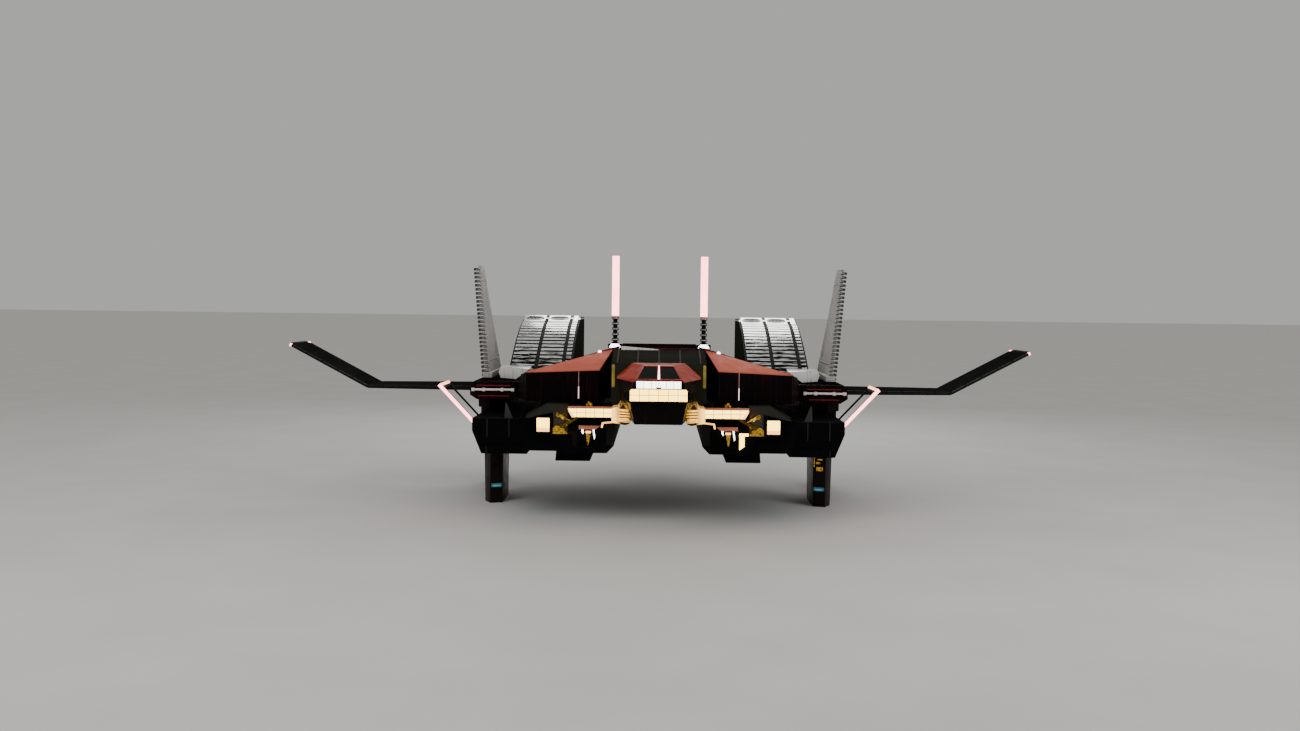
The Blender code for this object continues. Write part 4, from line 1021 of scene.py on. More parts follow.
@dataclass
class CentreHull(Assembly):
    """The trunk with its front ribs, deck fittings and tail."""

    sided: bool = False
    rib_x: tuple[float, ...] = (0.0, 0.49, 0.955)
    rib_width: float = 0.039
    front: Outline = ((-4.60, 3.78), (-3.40, 4.06))
    rail_half: float = 0.902
    rail_radius: float = 0.0365
    plate_x: Span = (0.90, 0.02)
    seam: float = 0.018
    seam_depth: float = 0.012
    frame_y: tuple[float, ...] = (-1.9, -0.4, 0.8, 2.4, 4.1)
    deck_line: Outline = ((-3.36, 4.06), (0.80, 4.06), (4.50, 3.8653))
    deck_half: float = 1.04

    def build(self) -> None:
        """Makes the trunk's skin and its fittings."""
        self.skin_trunk()
        self.front_ribs()
        self.rail()
        self.deck()
        self.tail()

    def skin_trunk(self) -> None:
        """The trunk with panel joints cut across its deck and sides."""
        trunk = self.copy("trunk")
        soften(trunk, 0.022, 2, 14)
        cuts = []
        for y in self.frame_y:
            y0, y1 = y - self.seam / 2, y + self.seam / 2
            cuts += [
                box((-1.3, y0, 4.06 - self.seam_depth), (1.3, y1, 4.3)),
                box((1.1 - self.seam_depth, y0, 2.6), (1.3, y1, 4.3)),
                box((-1.3, y0, 2.6), (self.seam_depth - 1.1, y1, 4.3)),
            ]
        self.put("trunk_skin", carve(trunk, cuts), Paint.GUNMETAL, "dark_panel", replaces="trunk")

    def front_ribs(self) -> None:
        """Grey ribs up the sloping front."""
        (y0, z0), (y1, z1) = self.front
        ends = ((y0 + 0.048, z0 + 0.012), (y1 + 0.002, z1))
        ribs = [
            [(x + s * self.rib_width / 2, y, z + rise) for y, z in ends for s in (1, -1) for rise in (-0.02, 0.016)]
            for x in sorted({s * x for x in self.rib_x for s in (1, -1)})
        ]
        self.solid("trunk_ribs", Paint.SEAM, "grey_metal", *ribs, soft=(0.004, 1))

    def rail(self) -> None:
        """The rail across the front's top, under a dark coaming plate to port and a white plate to starboard that is a
        painted highlight, tapering like the glint it stands for.
        """
        y, z = self.front[1]
        rail = bmesh.new()
        add_rod(rail, (-self.rail_half, y - 0.01, z), (self.rail_half, y - 0.01, z), self.rail_radius, 32)
        add_hull(rail, self.rail_plate(1, (4.098, 4.062)))
        self.put("trunk_rail", rail, Paint.COAMING, "bright_steel", smooth=50)
        # Painted highlight: the white plate stands for the glint along the starboard half of the rail.
        self.solid(
            "trunk_rail_trim", Paint.RAIL, "bright_steel", self.rail_plate(-1, (4.134, 4.068)), soft=(0.004, 1)
        )

    def rail_plate(self, sign: int, heads: Span) -> Corners:
        """A tapering plate above one half of the rail.

        Args:
            sign: 1 to port, -1 to starboard.
            heads: Level of its top edge at its outer and inner end.

        Returns:
            Its corners.
        """
        y = self.front[1][0]
        return [
            (sign * x, along, z)
            for x, head in zip(self.plate_x, heads) for z in (4.034, head) for along in (y - 0.056, y - 0.030)
        ]

    def deck(self) -> None:
        """Sheets, hatches, louvres and studs on the deck."""
        sheets = [
            [(x, y, z + rise) for x in (-self.deck_half, self.deck_half) for y, z in run for rise in (-0.01, 0.002)]
            for run in zip(self.deck_line, self.deck_line[1:])
        ]
        self.solid("trunk_deck_sheet", Paint.TOP, "dark_panel", *sheets)
        hatches = (
            box((-0.46, -2.95, 4.040), (0.46, -2.05, 4.066)), box((-0.40, -0.30, 4.040), (0.40, 0.70, 4.066)),
        )
        self.solid("deck_hatches", Paint.TOP, "dark_panel", *hatches, soft=(0.012, 2))
        self.units("deck_louvres", Paint.TOP, "dark_panel", UnitGrid(
            start=(-0.45, -1.60, 4.064), step=(0.0, 0.085, 0.0), count=13, size=(0.62, 0.05, 0.016),
            row_step=(0.90, 0.0, 0.0), rows=2, turn=(0.35, 0.0, 0.0),
        ))
        self.units("deck_studs", Paint.GREY, "grey_metal", UnitGrid(
            start=(-0.98, -3.25, 4.062), step=(0.0, 0.16, 0.0), count=25, size=(0.011, 0.0, 0.012),
            row_step=(1.96, 0.0, 0.0), rows=2, shape=UnitShape.STUD,
        ))

    def tail(self) -> None:
        """Frames and a red lamp at the tail's end."""
        frames = []
        for y, half, low, high in ((5.1, 0.80, 2.957, 3.649), (5.9, 0.67, 2.987, 3.557), (6.6, 0.53, 3.03, 3.477)):
            y0, y1 = y - 0.03, y + 0.03
            frames += [
                box((x, y0, low + 0.16), (x + 0.014, y1, high - 0.16)) for x in (-half - 0.004, half - 0.010)
            ]
            frames.append(box((-half + 0.2, y0, high - 0.012), (half - 0.2, y1, high + 0.006)))
        self.solid("tail_frames", Paint.GREY, "grey_metal", *frames)
        self.solid(
            "tail_lamp", Paint.ROSE, "pink_light", box((-0.30, 6.974, 3.27), (0.30, 6.999, 3.35)), soft=(0.008, 2)
        )


@dataclass
class Cockpit(Assembly):
    """The tub, the hinged canopy with its windscreen post, and what the pilot uses."""

    sided: bool = False
    brow_low: Span = (-6.88, 3.556)
    brow_high: Span = (-5.60, 3.784)
    post_widths: Span = (0.036, 0.014)
    trim_half: float = 0.345
    louvre_y: tuple[float, ...] = (-6.62, -6.52, -6.42, -6.32, -6.22)
    clip_y: Span = (-6.985, -6.965)
    clip: Outline = ((0, 3.376), (0.055, 3.362), (0.055, 3.41), (0, 3.388))

    def build(self) -> None:
        """Makes the cockpit."""
        self.tub()
        self.canopy()
        self.seat()
        self.console()

    def tub(self) -> None:
        """The tub's skin, the small louvres in its cheeks and the clip between the nose lamps."""
        self.skin("cockpit_tub", Paint.CHEEK, "black_enamel", 0.014, 2, 12)
        slats = []
        for sign in (1, -1):
            for y in self.louvre_y:
                x = 0.60 + 0.23 * (y + 6.90) / 1.30
                slats.append([
                    (sign * (x + lean + out), y + along, z)
                    for z, lean in ((3.10, 0.0), (3.24, 0.028)) for along in (-0.022, 0.022) for out in (-0.02, 0.012)
                ])
        self.solid("cheek_louvres", Paint.WING, "grey_metal", *slats)
        clips = [[(x * sign, y, z) for x, z in self.clip for y in self.clip_y] for sign in (1, -1)]
        self.solid("nose_lamp_clip", Paint.BRASS, "gold_plate", *clips)

    def canopy(self) -> None:
        """The canopy's skin, the lit windscreen post and the trim over the windscreen."""
        self.skin("canopy", Paint.SCARLET, "red_enamel", 0.007, 2, 14, body="canopy")
        low, high = Vector((0, *self.brow_low)), Vector((0, *self.brow_high))
        slope = (high - low).normalized()
        rise = Vector((0, -slope.z, slope.y))
        ends = (low + slope * 0.02 + rise * 0.006, high - slope * 0.03 + rise * 0.006)
        post = [
            place + Vector((sign * width / 2, 0, 0)) + rise * depth
            for place, width in zip(ends, self.post_widths) for sign in (1, -1) for depth in (-0.014, 0.014)
        ]
        self.solid("windscreen_post", Paint.WHITE, "white_light", post, soft=(0.006, 2), body="canopy")
        edge, reach = high + rise * 0.002, Vector((self.trim_half, 0, 0))
        trim = bar(edge - reach, edge + reach, 0.05, 0.02, rise)
        self.solid("windscreen_trim", Paint.BLUSH, "red_enamel", trim, soft=(0.006, 2), body="canopy")
        self.units("canopy_studs", Paint.GREY, "grey_metal", UnitGrid(
            start=(-0.30, -5.42, 3.794), step=(0.15, 0.0, 0.0), count=5, size=(0.010, 0.0, 0.012),
            row_step=(0.0, 0.62, 0.008), rows=2, shape=UnitShape.STUD,
        ), "canopy")

    def seat(self) -> None:
        """A moulded shell with three sewn cushions and a four-point harness."""
        shell = self.copy("seat")
        soften(shell, 0.02, 2)
        for vert in shell.verts:
            vert.co.x *= 0.98
            if vert.co.z > 2.8 and vert.co.y < -5.2:
                vert.co.z -= 0.08
            if vert.co.z > 2.95 and vert.co.y < -4.99:
                vert.co.y += 0.05
        self.put("seat_shell", shell, Paint.RUBBER, "seat_cloth", replaces="seat")
        self.cushion("seat_base_cushion", (-5.56, 2.845), (-5.19, 2.845), 0.075, 0.21)
        self.cushion("seat_back_cushion", (-5.165, 2.93), (-5.055, 3.36), 0.075, 0.21)
        self.cushion("seat_head_cushion", (-5.045, 3.40), (-5.012, 3.53), 0.06, 0.13)
        straps = [bar((x, -5.235, 2.95), (x, -5.125, 3.385), 0.045, 0.006, (0, -1, 0.2)) for x in (-0.11, 0.11)]
        straps.append(bar((-0.20, -5.27, 2.935), (0.20, -5.27, 2.935), 0.045, 0.006, (0, -0.2, 1)))
        self.solid("seat_harness", Paint.RED, "seat_cloth", *straps)
        buckle = box((-0.03, -5.30, 2.932), (0.03, -5.245, 2.958))
        self.solid("seat_buckle", Paint.STEEL, "bright_steel", buckle, soft=(0.004, 2))

    def cushion(self, name: str, start: Span, end: Span, thick: float, half: float) -> None:
        """A crowned cushion between two points in side view, swollen by a short cloth simulation.

        Args:
            name: The piece's name.
            start: Station and level of the middle of its lower or front edge.
            end: Station and level of the middle of its upper or rear edge.
            thick: Its thickness before it swells.
            half: Half its width.
        """
        bm = bmesh.new()
        up = Vector((0, end[0] - start[0], end[1] - start[1])).normalized()
        out = Vector((0, up.z, -up.y))
        if out.z < -0.5:
            out = -out
        middle = Vector((0, (start[0] + end[0]) / 2, (start[1] + end[1]) / 2))
        length = math.hypot(end[0] - start[0], end[1] - start[1])
        bmesh.ops.create_cube(bm, size=1.0)
        turn = Matrix((Vector((1, 0, 0)), up, out)).transposed().to_4x4()
        bmesh.ops.scale(bm, vec=(2 * half, length, thick * 0.72), verts=bm.verts)
        bmesh.ops.subdivide_edges(bm, edges=bm.edges, cuts=5, use_grid_fill=True)
        for vert in bm.verts:
            vert.co.x *= 1 - 0.10 * (2 * vert.co.y / length) ** 2
            vert.co.y *= 1 - 0.06 * (vert.co.x / half) ** 2
        bmesh.ops.transform(bm, matrix=Matrix.Translation(middle) @ turn, verts=bm.verts)
        item = as_object(name, bm, Paint.CLOTH, 60)
        swell(item, 0.007, 0.016)
        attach(item, "hull")
        LOG.info("%s on hull, %d faces", name, len(item.data.polygons))

    def console(self) -> None:
        """The instrument console with lit screens, keys and a control yoke."""
        self.skin("console", Paint.RUBBER, "black_enamel", 0.012)
        slope = Vector((0, 0.30, -0.22)).normalized() * 0.055
        rise = Vector((0, 0.22, 0.30)).normalized()
        screens = []
        for x, width in ((-0.25, 0.18), (0.0, 0.24), (0.25, 0.18)):
            middle = Vector((x, -6.47, 3.345)) + rise * 0.004
            screens.append(bar(middle - slope, middle + slope, width, 0.012, rise))
        self.solid("console_screens", Paint.TEAL_DIM, "black_enamel", *screens, soft=(0.004, 1))
        self.units("console_keys", Paint.GREY, "grey_metal", UnitGrid(
            start=(-0.33, -6.375, 3.283), step=(0.044, 0.0, 0.0), count=16, size=(0.028, 0.012, 0.012),
            row_step=(0.0, 0.024, -0.0176), rows=2, turn=(-0.633, 0.0, 0.0),
        ))
        yoke = bmesh.new()
        for start, end, radius in (
            ((0, -6.36, 3.14), (0, -6.16, 3.20), 0.018), ((-0.13, -6.16, 3.20), (0.13, -6.16, 3.20), 0.015),
            ((-0.13, -6.165, 3.16), (-0.13, -6.14, 3.29), 0.020), ((0.13, -6.165, 3.16), (0.13, -6.14, 3.29), 0.020),
        ):
            add_rod(yoke, start, end, radius, 16)
        self.put("control_yoke", yoke, Paint.RUBBER, "black_enamel")


def swell(item: bpy.types.Object, voxel: float, cap: float) -> None:
    """Swells a cushion with a short cloth simulation, and holds each point within a distance of where it was.

    Args:
        item: The cushion.
        voxel: Size of its remeshed faces.
        cap: How far a point may move.
    """
    mesher = item.modifiers.new("Even", "REMESH")
    mesher.mode = "VOXEL"
    mesher.voxel_size = voxel
    mesh = evaluated_mesh(item)
    item.modifiers.clear()
    item.data = mesh
    before = [v.co.copy() for v in mesh.vertices]
    cloth = item.modifiers.new("Cloth", "CLOTH")
    cloth.settings.quality = 4
    cloth.settings.use_pressure = True
    cloth.settings.uniform_pressure_force = 4.0
    cloth.settings.effector_weights.gravity = 0.0
    for frame_number in range(1, 13):
        bpy.context.scene.frame_set(frame_number)
    swollen = evaluated_mesh(item)
    item.modifiers.clear()
    item.data = swollen
    for vert, start in zip(swollen.vertices, before):
        shift = vert.co - start
        if shift.length > cap:
            vert.co = start + shift * (cap / shift.length)
    item.data.materials.clear()
    item.data.materials.append(Paint.CLOTH.material())
    item.data.shade_smooth()


@dataclass
class Shoulder(Assembly):
    """A shoulder with its red panel, front seams, strip lights, a glowing strip of painted reflection and deck
    fittings.
    """

    front_inner: Place = (1.372, -4.30, 3.62)
    front_outer: Place = (3.172, -3.40, 3.499)
    low: float = 2.80
    seam_x: tuple[float, ...] = (1.40, 2.26, 2.77)
    strip_x: float = 1.87
    strip_z: float = 3.20
    ridge_y: Span = (-2.87, -2.80)
    ridge: tuple[Place, ...] = ((0.96, 4.055, 4.118), (1.367, 3.955, 4.008), (2.10, 3.755, 3.775))
    amber_place: Span = (1.045, -4.597)
    amber_z: Span = (3.26, 3.72)
    amber_radius: float = 0.034
    sheet_z: Span = (3.190, 3.198)

    def front(self, x: float, z: float, out: float) -> Vector:
        """A point of the front face, moved out of it.

        Args:
            x: Its distance from the centre line.
            z: Its level.
            out: How far it is moved.

        Returns:
            The point.
        """
        run = Vector(self.front_outer) - Vector(self.front_inner)
        share = (x - self.front_inner[0]) / run.x
        normal = Vector((run.y, -run.x, 0)).normalized()
        return Vector((x, self.front_inner[1] + run.y * share, z)) + normal * out

    def top(self, x: float) -> float:
        """Level of the red panel's underside at the front face."""
        share = (x - self.front_inner[0]) / (self.front_outer[0] - self.front_inner[0])
        return self.front_inner[2] + (self.front_outer[2] - self.front_inner[2]) * share - 0.032

    def upright(self, x: float, low: float, high: float, width: float, out: float) -> Corners:
        """The corners of an upright bar on the front face."""
        sides = (x + width / 2, x - width / 2)
        return [self.front(side, z, depth) for side in sides for z in (low, high) for depth in (-0.02, out)]

    def build(self) -> None:
        """Makes the shoulder."""
        self.skin("shoulder", Paint.MAROON, "maroon_enamel", 0.016)
        self.skin("shoulder_panel", Paint.RED, "red_enamel", 0.006)
        seams = [self.upright(x, self.low + 0.02, self.top(x), 0.030, 0.008) for x in self.seam_x]
        self.solid("shoulder_seams", Paint.DARK_STEEL, "dark_panel", *seams, soft=(0.003, 1))
        dim = self.upright(self.strip_x, self.strip_z, self.top(self.strip_x), 0.011, 0.008)
        self.solid("shoulder_strip_upper", Paint.PINK_DIM, "pink_light", dim)
        lit = self.upright(self.strip_x, self.low + 0.12, self.strip_z, 0.016, 0.012)
        self.solid("shoulder_strip_lamp", Paint.PEARL, "pink_light", lit, soft=(0.003, 2))
        cap = [(x, y, z) for y in self.ridge_y for x, *levels in self.ridge for z in levels]
        self.solid("shoulder_ridge_cap", Paint.CRIMSON, "maroon_enamel", cap)
        self.amber()
        self.deck()

    def amber(self) -> None:
        """A glowing amber strip at the edge of the trunk's front, inside the gap beside the cockpit, that is a painted
        reflection of the lamps' light; it is no lamp.
        """
        ends = [(*self.amber_place, z) for z in self.amber_z]
        lens = bmesh.new()
        add_rod(lens, *ends, self.amber_radius, 20)
        for end in ends:
            add_ball(lens, end, self.amber_radius, 20)
        self.put("gap_strip_reflection_glow", lens, Paint.OLIVE, "warm_light")

    def deck(self) -> None:
        """Dark sheets over the low deck and the pod, and vents beside the nacelle."""
        low_deck = slab(((1.104, -1.50), (3.517, -2.22), (3.517, 4.597), (1.104, 4.597)), self.sheet_z)
        pod = box((3.524, -2.34, self.sheet_z[0]), (4.545, 2.597, self.sheet_z[1]))
        self.solid("deck_sheet", Paint.DECK, "grey_metal", low_deck, pod)
        self.units("deck_vents", Paint.DECK, "dark_panel", UnitGrid(
            start=(1.60, -1.20, 3.202), step=(0.0, 0.11, 0.0), count=30, size=(0.55, 0.06, 0.014),
            turn=(0.3, 0.0, 0.0),
        ))


@dataclass
class WingPod(Assembly):
    """The glossy pod at the wing's root, with a white rail and clips round its front and ruby stripes along its top
    and bottom edges, all painted highlights.
    """

    front_y: float = -2.40
    rail_z: float = 2.985
    rail_x: Span = (3.60, 4.58)
    clip_x: Span = (3.86, 4.32)

    def build(self) -> None:
        """Makes the pod."""
        self.skin("wing_pod", Paint.POD, "maroon_enamel", 0.055, 4, 12, smooth=50)
        (x0, x1), y, z = self.rail_x, self.front_y, self.rail_z
        # Painted highlight: the white rail and its clips stand for the bright glint across the pod's front.
        rail = bmesh.new()
        add_rod(rail, (x0 - 0.002, y - 0.013, z), (x1 + 0.002, y - 0.013, z), 0.0275, 24)
        self.put("pod_rail", rail, Paint.RAIL, "bright_steel", smooth=50)
        clips = [
            box((x - 0.040, y - 0.052, z - 0.046), (x + 0.040, y + 0.01, z + 0.046)) for x in (x0, *self.clip_x, x1)
        ]
        self.solid("pod_rail_clips", Paint.RAIL, "bright_steel", *clips, soft=(0.020, 4), smooth=50)
        # Painted highlights: ruby stripes for the red glints along the pod's top and bottom edges.
        stripes = [
            box((left, y - 0.006, level - 0.012), (right, y + 0.02, level + 0.012))
            for level, left, right in ((3.085, 3.66, 4.50), (2.83, 3.70, 4.46))
        ]
        self.solid("pod_highlight_stripes", Paint.RUBY, "maroon_enamel", *stripes, soft=(0.003, 1))
        self.units("pod_side_vents", Paint.DARK_STEEL, "dark_panel", UnitGrid(
            start=(4.655, -1.9, 2.95), step=(0.0, 0.16, 0.0), count=7, size=(0.016, 0.05, 0.16),
        ))


@dataclass
class Wing(Assembly):
    """A flat wing with a turned-up outer panel, its tip lamps and its elevon."""

    root: Place = (4.6603, 2.898, 0.156)
    fold: Place = (7.62, 2.898, 0.110)
    tip: Place = (9.60, 3.950, 0.100)
    outer_up: Place = (-0.469, 0, 0.883)
    front_y: float = -0.60
    edge_share: float = 0.55
    inner_bays: int = 7
    outer_bays: int = 5

    def build(self) -> None:
        """Makes the wing."""
        wing = carve(self.copy("wing"), self.bay_cuts())
        self.put("wing_skin", wing, Paint.WING, "dark_panel", replaces="wing")
        self.leading_edge()
        self.tip_lamps()
        self.skin("elevon", Paint.WING, "dark_panel", 0.004, 1, body="elevon")

    def panels(self) -> tuple[tuple[bool, int, Vector], ...]:
        """Whether it is the outer one, the number of bays and the upward direction of the wing's two panels."""
        return (False, self.inner_bays, Vector((0, 0, 1))), (True, self.outer_bays, Vector(self.outer_up))

    def station(self, share: float, outer: bool) -> tuple[Vector, float]:
        """A section of the wing.

        Args:
            share: How far along its panel it is.
            outer: Whether it is on the outer panel.

        Returns:
            Its middle and its thickness.
        """
        start, end = (self.fold, self.tip) if outer else (self.root, self.fold)
        x, z, thick = (a + (b - a) * share for a, b in zip(start, end))
        return Vector((x, 0, z)), thick

    def bay_cuts(self) -> list[Corners]:
        """The joints between the wing's bays.

        Returns:
            The corners of each cut.
        """
        cuts = []
        for outer, bays, up in self.panels():
            along = Vector((up.z, 0, -up.x))
            for i in range(1, bays if outer else bays + 1):
                middle, thick = self.station(i / bays, outer)
                for sign in (1, -1):
                    face = middle + up * (sign * thick / 2)
                    cuts.append([
                        face + along * a + up * (sign * b) + Vector((0, y, 0))
                        for a in (-0.007, 0.007) for b in (-0.008, 0.05) for y in (-0.44, 0.82)
                    ])
        return cuts

    def leading_edge(self) -> None:
        """Black edge strips in lengths, with small gaps between them."""
        strips = []
        for outer, bays, up in self.panels():
            for i in range(bays):
                corners = []
                for share in ((i + 0.04) / bays, (i + 0.96) / bays):
                    middle, thick = self.station(share, outer)
                    half = thick / 2 * self.edge_share
                    for s in (1, -1):
                        corners.append(middle + up * (s * (half + 0.010)) + Vector((0, self.front_y + 0.05, 0)))
                        corners.append(middle + up * (s * half * 0.9) + Vector((0, self.front_y - 0.012, 0)))
                strips.append(corners)
        self.solid("wing_edge", Paint.RUBBER, "dark_panel", *strips, soft=(0.004, 1))

    def tip_lamps(self) -> None:
        """The tip's cap, with a lens on its outer face that turns round its two corners."""
        cap = self.copy("wing_light")
        middle = sum((v.co for v in cap.verts), Vector()) / len(cap.verts)
        up = Vector(self.outer_up)
        along = Vector((up.z, 0, -up.x))
        for vert in cap.verts:
            if (vert.co - middle).dot(along) > 0:
                vert.co -= along * 0.016
        soften(cap, 0.004, 1)
        self.put("wing_tip_cap", cap, Paint.RUBBER, "dark_panel", replaces="wing_light")
        face = middle + along * 0.011
        face.y = 0
        lenses = [
            [
                face + up * (s * width / 2) + along * (a - 0.004) + Vector((0, y, 0))
                for s in (1, -1) for a in (0.008 - depth, 0.008) for y in run
            ]
            for run, width, depth in (
                ((-0.615, -0.50), 0.068, 0.040), ((-0.50, 1.05), 0.05, 0.016), ((1.05, 1.25), 0.05, 0.040)
            )
        ]
        self.solid("wing_tip_lens", Paint.PINK, "pink_light", *lenses)


@dataclass
class Fin(Assembly):
    """A leaning fin with a toothed leading strip, and its rudder."""

    foot: Span = (4.42, 3.195)
    head: Span = (4.78, 6.10)
    lead: Outline = ((-0.90, 0.0), (-0.30, 2.92))
    tooth_count: int = 27
    strap_levels: Span = (0.42, 2.52)
    strap_out: float = 0.056

    def place(self, y: float, level: float, out: float) -> Vector:
        """A point in the fin's own plane, moved out of it.

        Args:
            y: Its station.
            level: Its distance up the fin.
            out: How far it is moved.

        Returns:
            The point.
        """
        foot = Vector((self.foot[0], 0, self.foot[1]))
        up = Vector((self.head[0] - self.foot[0], 0, self.head[1] - self.foot[1])).normalized()
        return foot + up * level + Vector((0, y, 0)) + Vector((up.z, 0, -up.x)) * out

    def build(self) -> None:
        """Makes the fin and the rudder."""
        self.skin("fin", Paint.FIN, "grey_metal", 0.008, 2, 20)
        self.skin("rudder", Paint.FIN, "grey_metal", 0.006, 2, 20, body="rudder")
        self.teeth()
        self.straps()

    def teeth(self) -> None:
        """The toothed strip in front of the leading edge, and the spine between its teeth."""
        (y0, l0), (y1, l1) = self.lead
        foot, head = self.place(y0, l0, 0), self.place(y1, l1, 0)
        along = (head - foot).normalized()
        out = (self.place(y0, l0, 1.0) - foot).normalized()
        ahead = out.cross(along)
        turn = Matrix((out, ahead, along)).transposed().to_euler()
        reach = (head - foot).length
        step = along * reach / (self.tooth_count + 0.6)
        teeth = UnitGrid(
            start=tuple(foot + step * 0.7 + ahead * 0.0225 + out * 0.045), step=tuple(step), count=self.tooth_count,
            size=(0.200, 0.093, 0.060), turn=tuple(turn), taper=0.68,
        ).mesh(Paint.RIB)
        soften(teeth, 0.008, 1)
        self.put("fin_teeth", teeth, Paint.RIB, "grey_metal")
        spine = bar(foot + along * 0.02, foot + along * (reach - 0.010), 0.083, 0.073, ahead)
        self.solid("fin_spine", Paint.GREY, "grey_metal", spine, soft=(0.01, 2))

    def straps(self) -> None:
        """Stiffening straps across both faces."""
        straps = []
        for level in self.strap_levels:
            share = level / self.lead[1][1]
            run = (-0.90 + 0.60 * share + 0.14, 1.90 - 1.17 * share - 0.32)
            straps.append([
                self.place(y, height, out) for y in run for height in (level - 0.02, level + 0.02)
                for out in (-self.strap_out, self.strap_out)
            ])
        self.solid("fin_straps", Paint.GREY, "grey_metal", *straps, soft=(0.004, 1))


@dataclass
class Nacelle(Assembly):
    """A bright ribbed nacelle in three bands, with painted shade in dark strips between its ribs, and vents in its
    crown.
    """

    x_range: Span = (2.28, 3.90)
    setback: float = 0.045
    slope_start: Span = (-0.85, 3.38)
    slope_end: Span = (2.35, 4.62)
    power: float = 1.35
    ribs: int = 16
    rib_depth: float = 0.045
    groove_shares: Span = (0.43, 0.86)
    groove: float = 0.10
    crown_z: float = 4.77
    duct: Place = (3.075, 4.98, 3.985)
    bolt_circle: float = 0.727
    bolts: int = 24
    deck_z: float = 3.2023
    fairing_swell: float = 1.008
    vents: tuple[tuple[float, ...], ...] = ((2.66, 4.699, 0.25, 0.14, 0.245), (1.80, 4.482, 0.09, 0.05, 0.37))
    vent_slats: int = 7
    wide_band: float = 0.4
    fairing_corners: tuple[Place, ...] = (
        (3.26, -1.75, 3.47), (3.30, -0.80, 3.50), (4.05, -1.20, 3.50), (4.12, -1.10, 3.36), (4.06, -1.15, 3.2023),
        (3.62, -1.55, 3.2023), (3.99, -0.60, 3.50), (3.99, -0.60, 3.2023), (3.30, -0.80, 3.2023),
    )

    def slope(self, t: float) -> Span:
        """Station and level of the cowl's slope at a share of its length."""
        rise = self.slope_end[1] - self.slope_start[1]
        run = self.slope_end[0] - self.slope_start[0]
        return self.slope_start[0] + run * t, self.slope_start[1] + rise * (1 - (1 - t) ** self.power)

    def runs(self, back: float) -> list[tuple[Span, Span]]:
        """Short lengths of the cowl's outline in side view.

        Args:
            back: Station at which the outline ends.

        Returns:
            Station and level of the two ends of each length.
        """
        points = [self.slope(i / 8) for i in range(9)] + [(2.95, self.crown_z), (back, self.crown_z)]
        return list(zip(points, points[1:]))

    def bands(self) -> list[Span]:
        """Low and high x of the three bands.

        Returns:
            A pair for each band, on the port side.
        """
        low, high = self.x_range
        width = high - low
        shares = self.groove_shares if self.side is Side.PORT else [1 - s for s in reversed(self.groove_shares)]
        edges = [low + self.setback]
        for share in shares:
            edges += [low + share * width - self.groove / 2, low + share * width + self.groove / 2]
        edges.append(high - self.setback)
        return [(edges[i], edges[i + 1]) for i in (0, 2, 4)]

    def build(self) -> None:
        """Makes the nacelle."""
        self.skin("nacelle", Paint.COWL, "bright_steel", 0.005, 1, 30, smooth=24)
        self.fairing()
        self.rib_gaps()
        self.grooves()
        self.crown_vents()
        self.inner_side()
        self.rear()

    def fairing(self) -> None:
        """The polished fairing at the cowl's foot, a sheet over the CAD node's own."""
        corners = [Vector(c) for c in self.fairing_corners]
        middle = sum(corners, Vector()) / len(corners)
        sheet = solids([[middle + (c - middle) * self.fairing_swell for c in corners]])
        for vert in sheet.verts:
            vert.co.z = max(vert.co.z, self.deck_z)
        soften(sheet, 0.006, 2)
        self.put("nacelle_fairing", sheet, Paint.FAIRING, "bright_steel", smooth=24)

    def crown_vents(self) -> None:
        """Two round vents in the crown of each wide band: a dark grille in a bright rim."""
        dark, rims, slats = bmesh.new(), bmesh.new(), bmesh.new()
        for x0, x1 in self.bands():
            if x1 - x0 < self.wide_band:
                continue
            for y, z, wide, deep, lean in self.vents:
                turn = Matrix.Translation(((x0 + x1) / 2, y, z)) @ Matrix.Rotation(lean, 4, "X")
                place = turn @ Matrix.Diagonal((wide, deep, 1, 1))
                bmesh.ops.create_cone(
                    dark, cap_ends=True, segments=40, radius1=1, radius2=0.96, depth=0.022, matrix=place
                )
                ring = bmesh.new()
                add_ring(ring, (0, 0, 0.004), (0, 0, 1), (0.97, 1.07), 0.030, 40)
                bmesh.ops.transform(ring, matrix=place, verts=ring.verts)
                rims.from_mesh(plain_mesh(ring))
                for shift in ((i - 3) * deep * 0.25 for i in range(self.vent_slats)):
                    reach = wide * math.sqrt(1 - (shift / deep) ** 2) * 0.95
                    add_hull(slats, [
                        turn @ Vector((a * reach, shift + b * 0.008, c)) for a in (1, -1) for b in (1, -1)
                        for c in (0.005, 0.016)
                    ])
        self.put("nacelle_vents", dark, Paint.RUBBER, "dark_panel")
        self.put("nacelle_vent_rims", rims, Paint.STEEL, "bright_steel")
        self.put("nacelle_vent_slats", slats, Paint.DARK_STEEL, "dark_panel")

    def rib_gaps(self) -> None:
        """Painted shade and painted dark reflection: dark strips in the gaps between the ribs, and dark risers that
        shrink towards the crown.
        """
        strips = []
        for x0, x1 in self.bands():
            for i in range(self.ribs):
                y, z = self.slope(i / self.ribs)
                rise = (self.rib_depth - 0.003) * (1 - 0.70 * min(1.0, max(0.0, (i / self.ribs - 0.55) / 0.35)))
                low = self.rib_depth - 0.002
                strips.append([
                    (x, y + drop * 0.4 + back, z - drop) for x in (x0 + 0.004, x1 - 0.004)
                    for drop in (low, low - rise) for back in (-0.003, 0.01)
                ])
                ends = (self.slope((i + 0.44 + 0.36 * i / self.ribs) / self.ribs), self.slope((i + 0.97) / self.ribs))
                sink = self.rib_depth - 0.006
                strips.append([
                    (x, y + sink * 0.4, z - sink - drop) for x in (x0 + 0.012, x1 - 0.012)
                    for y, z in ends for drop in (0.0, 0.02)
                ])
        self.solid("nacelle_rib_gaps", Paint.DARK_STEEL, "dark_panel", *strips)

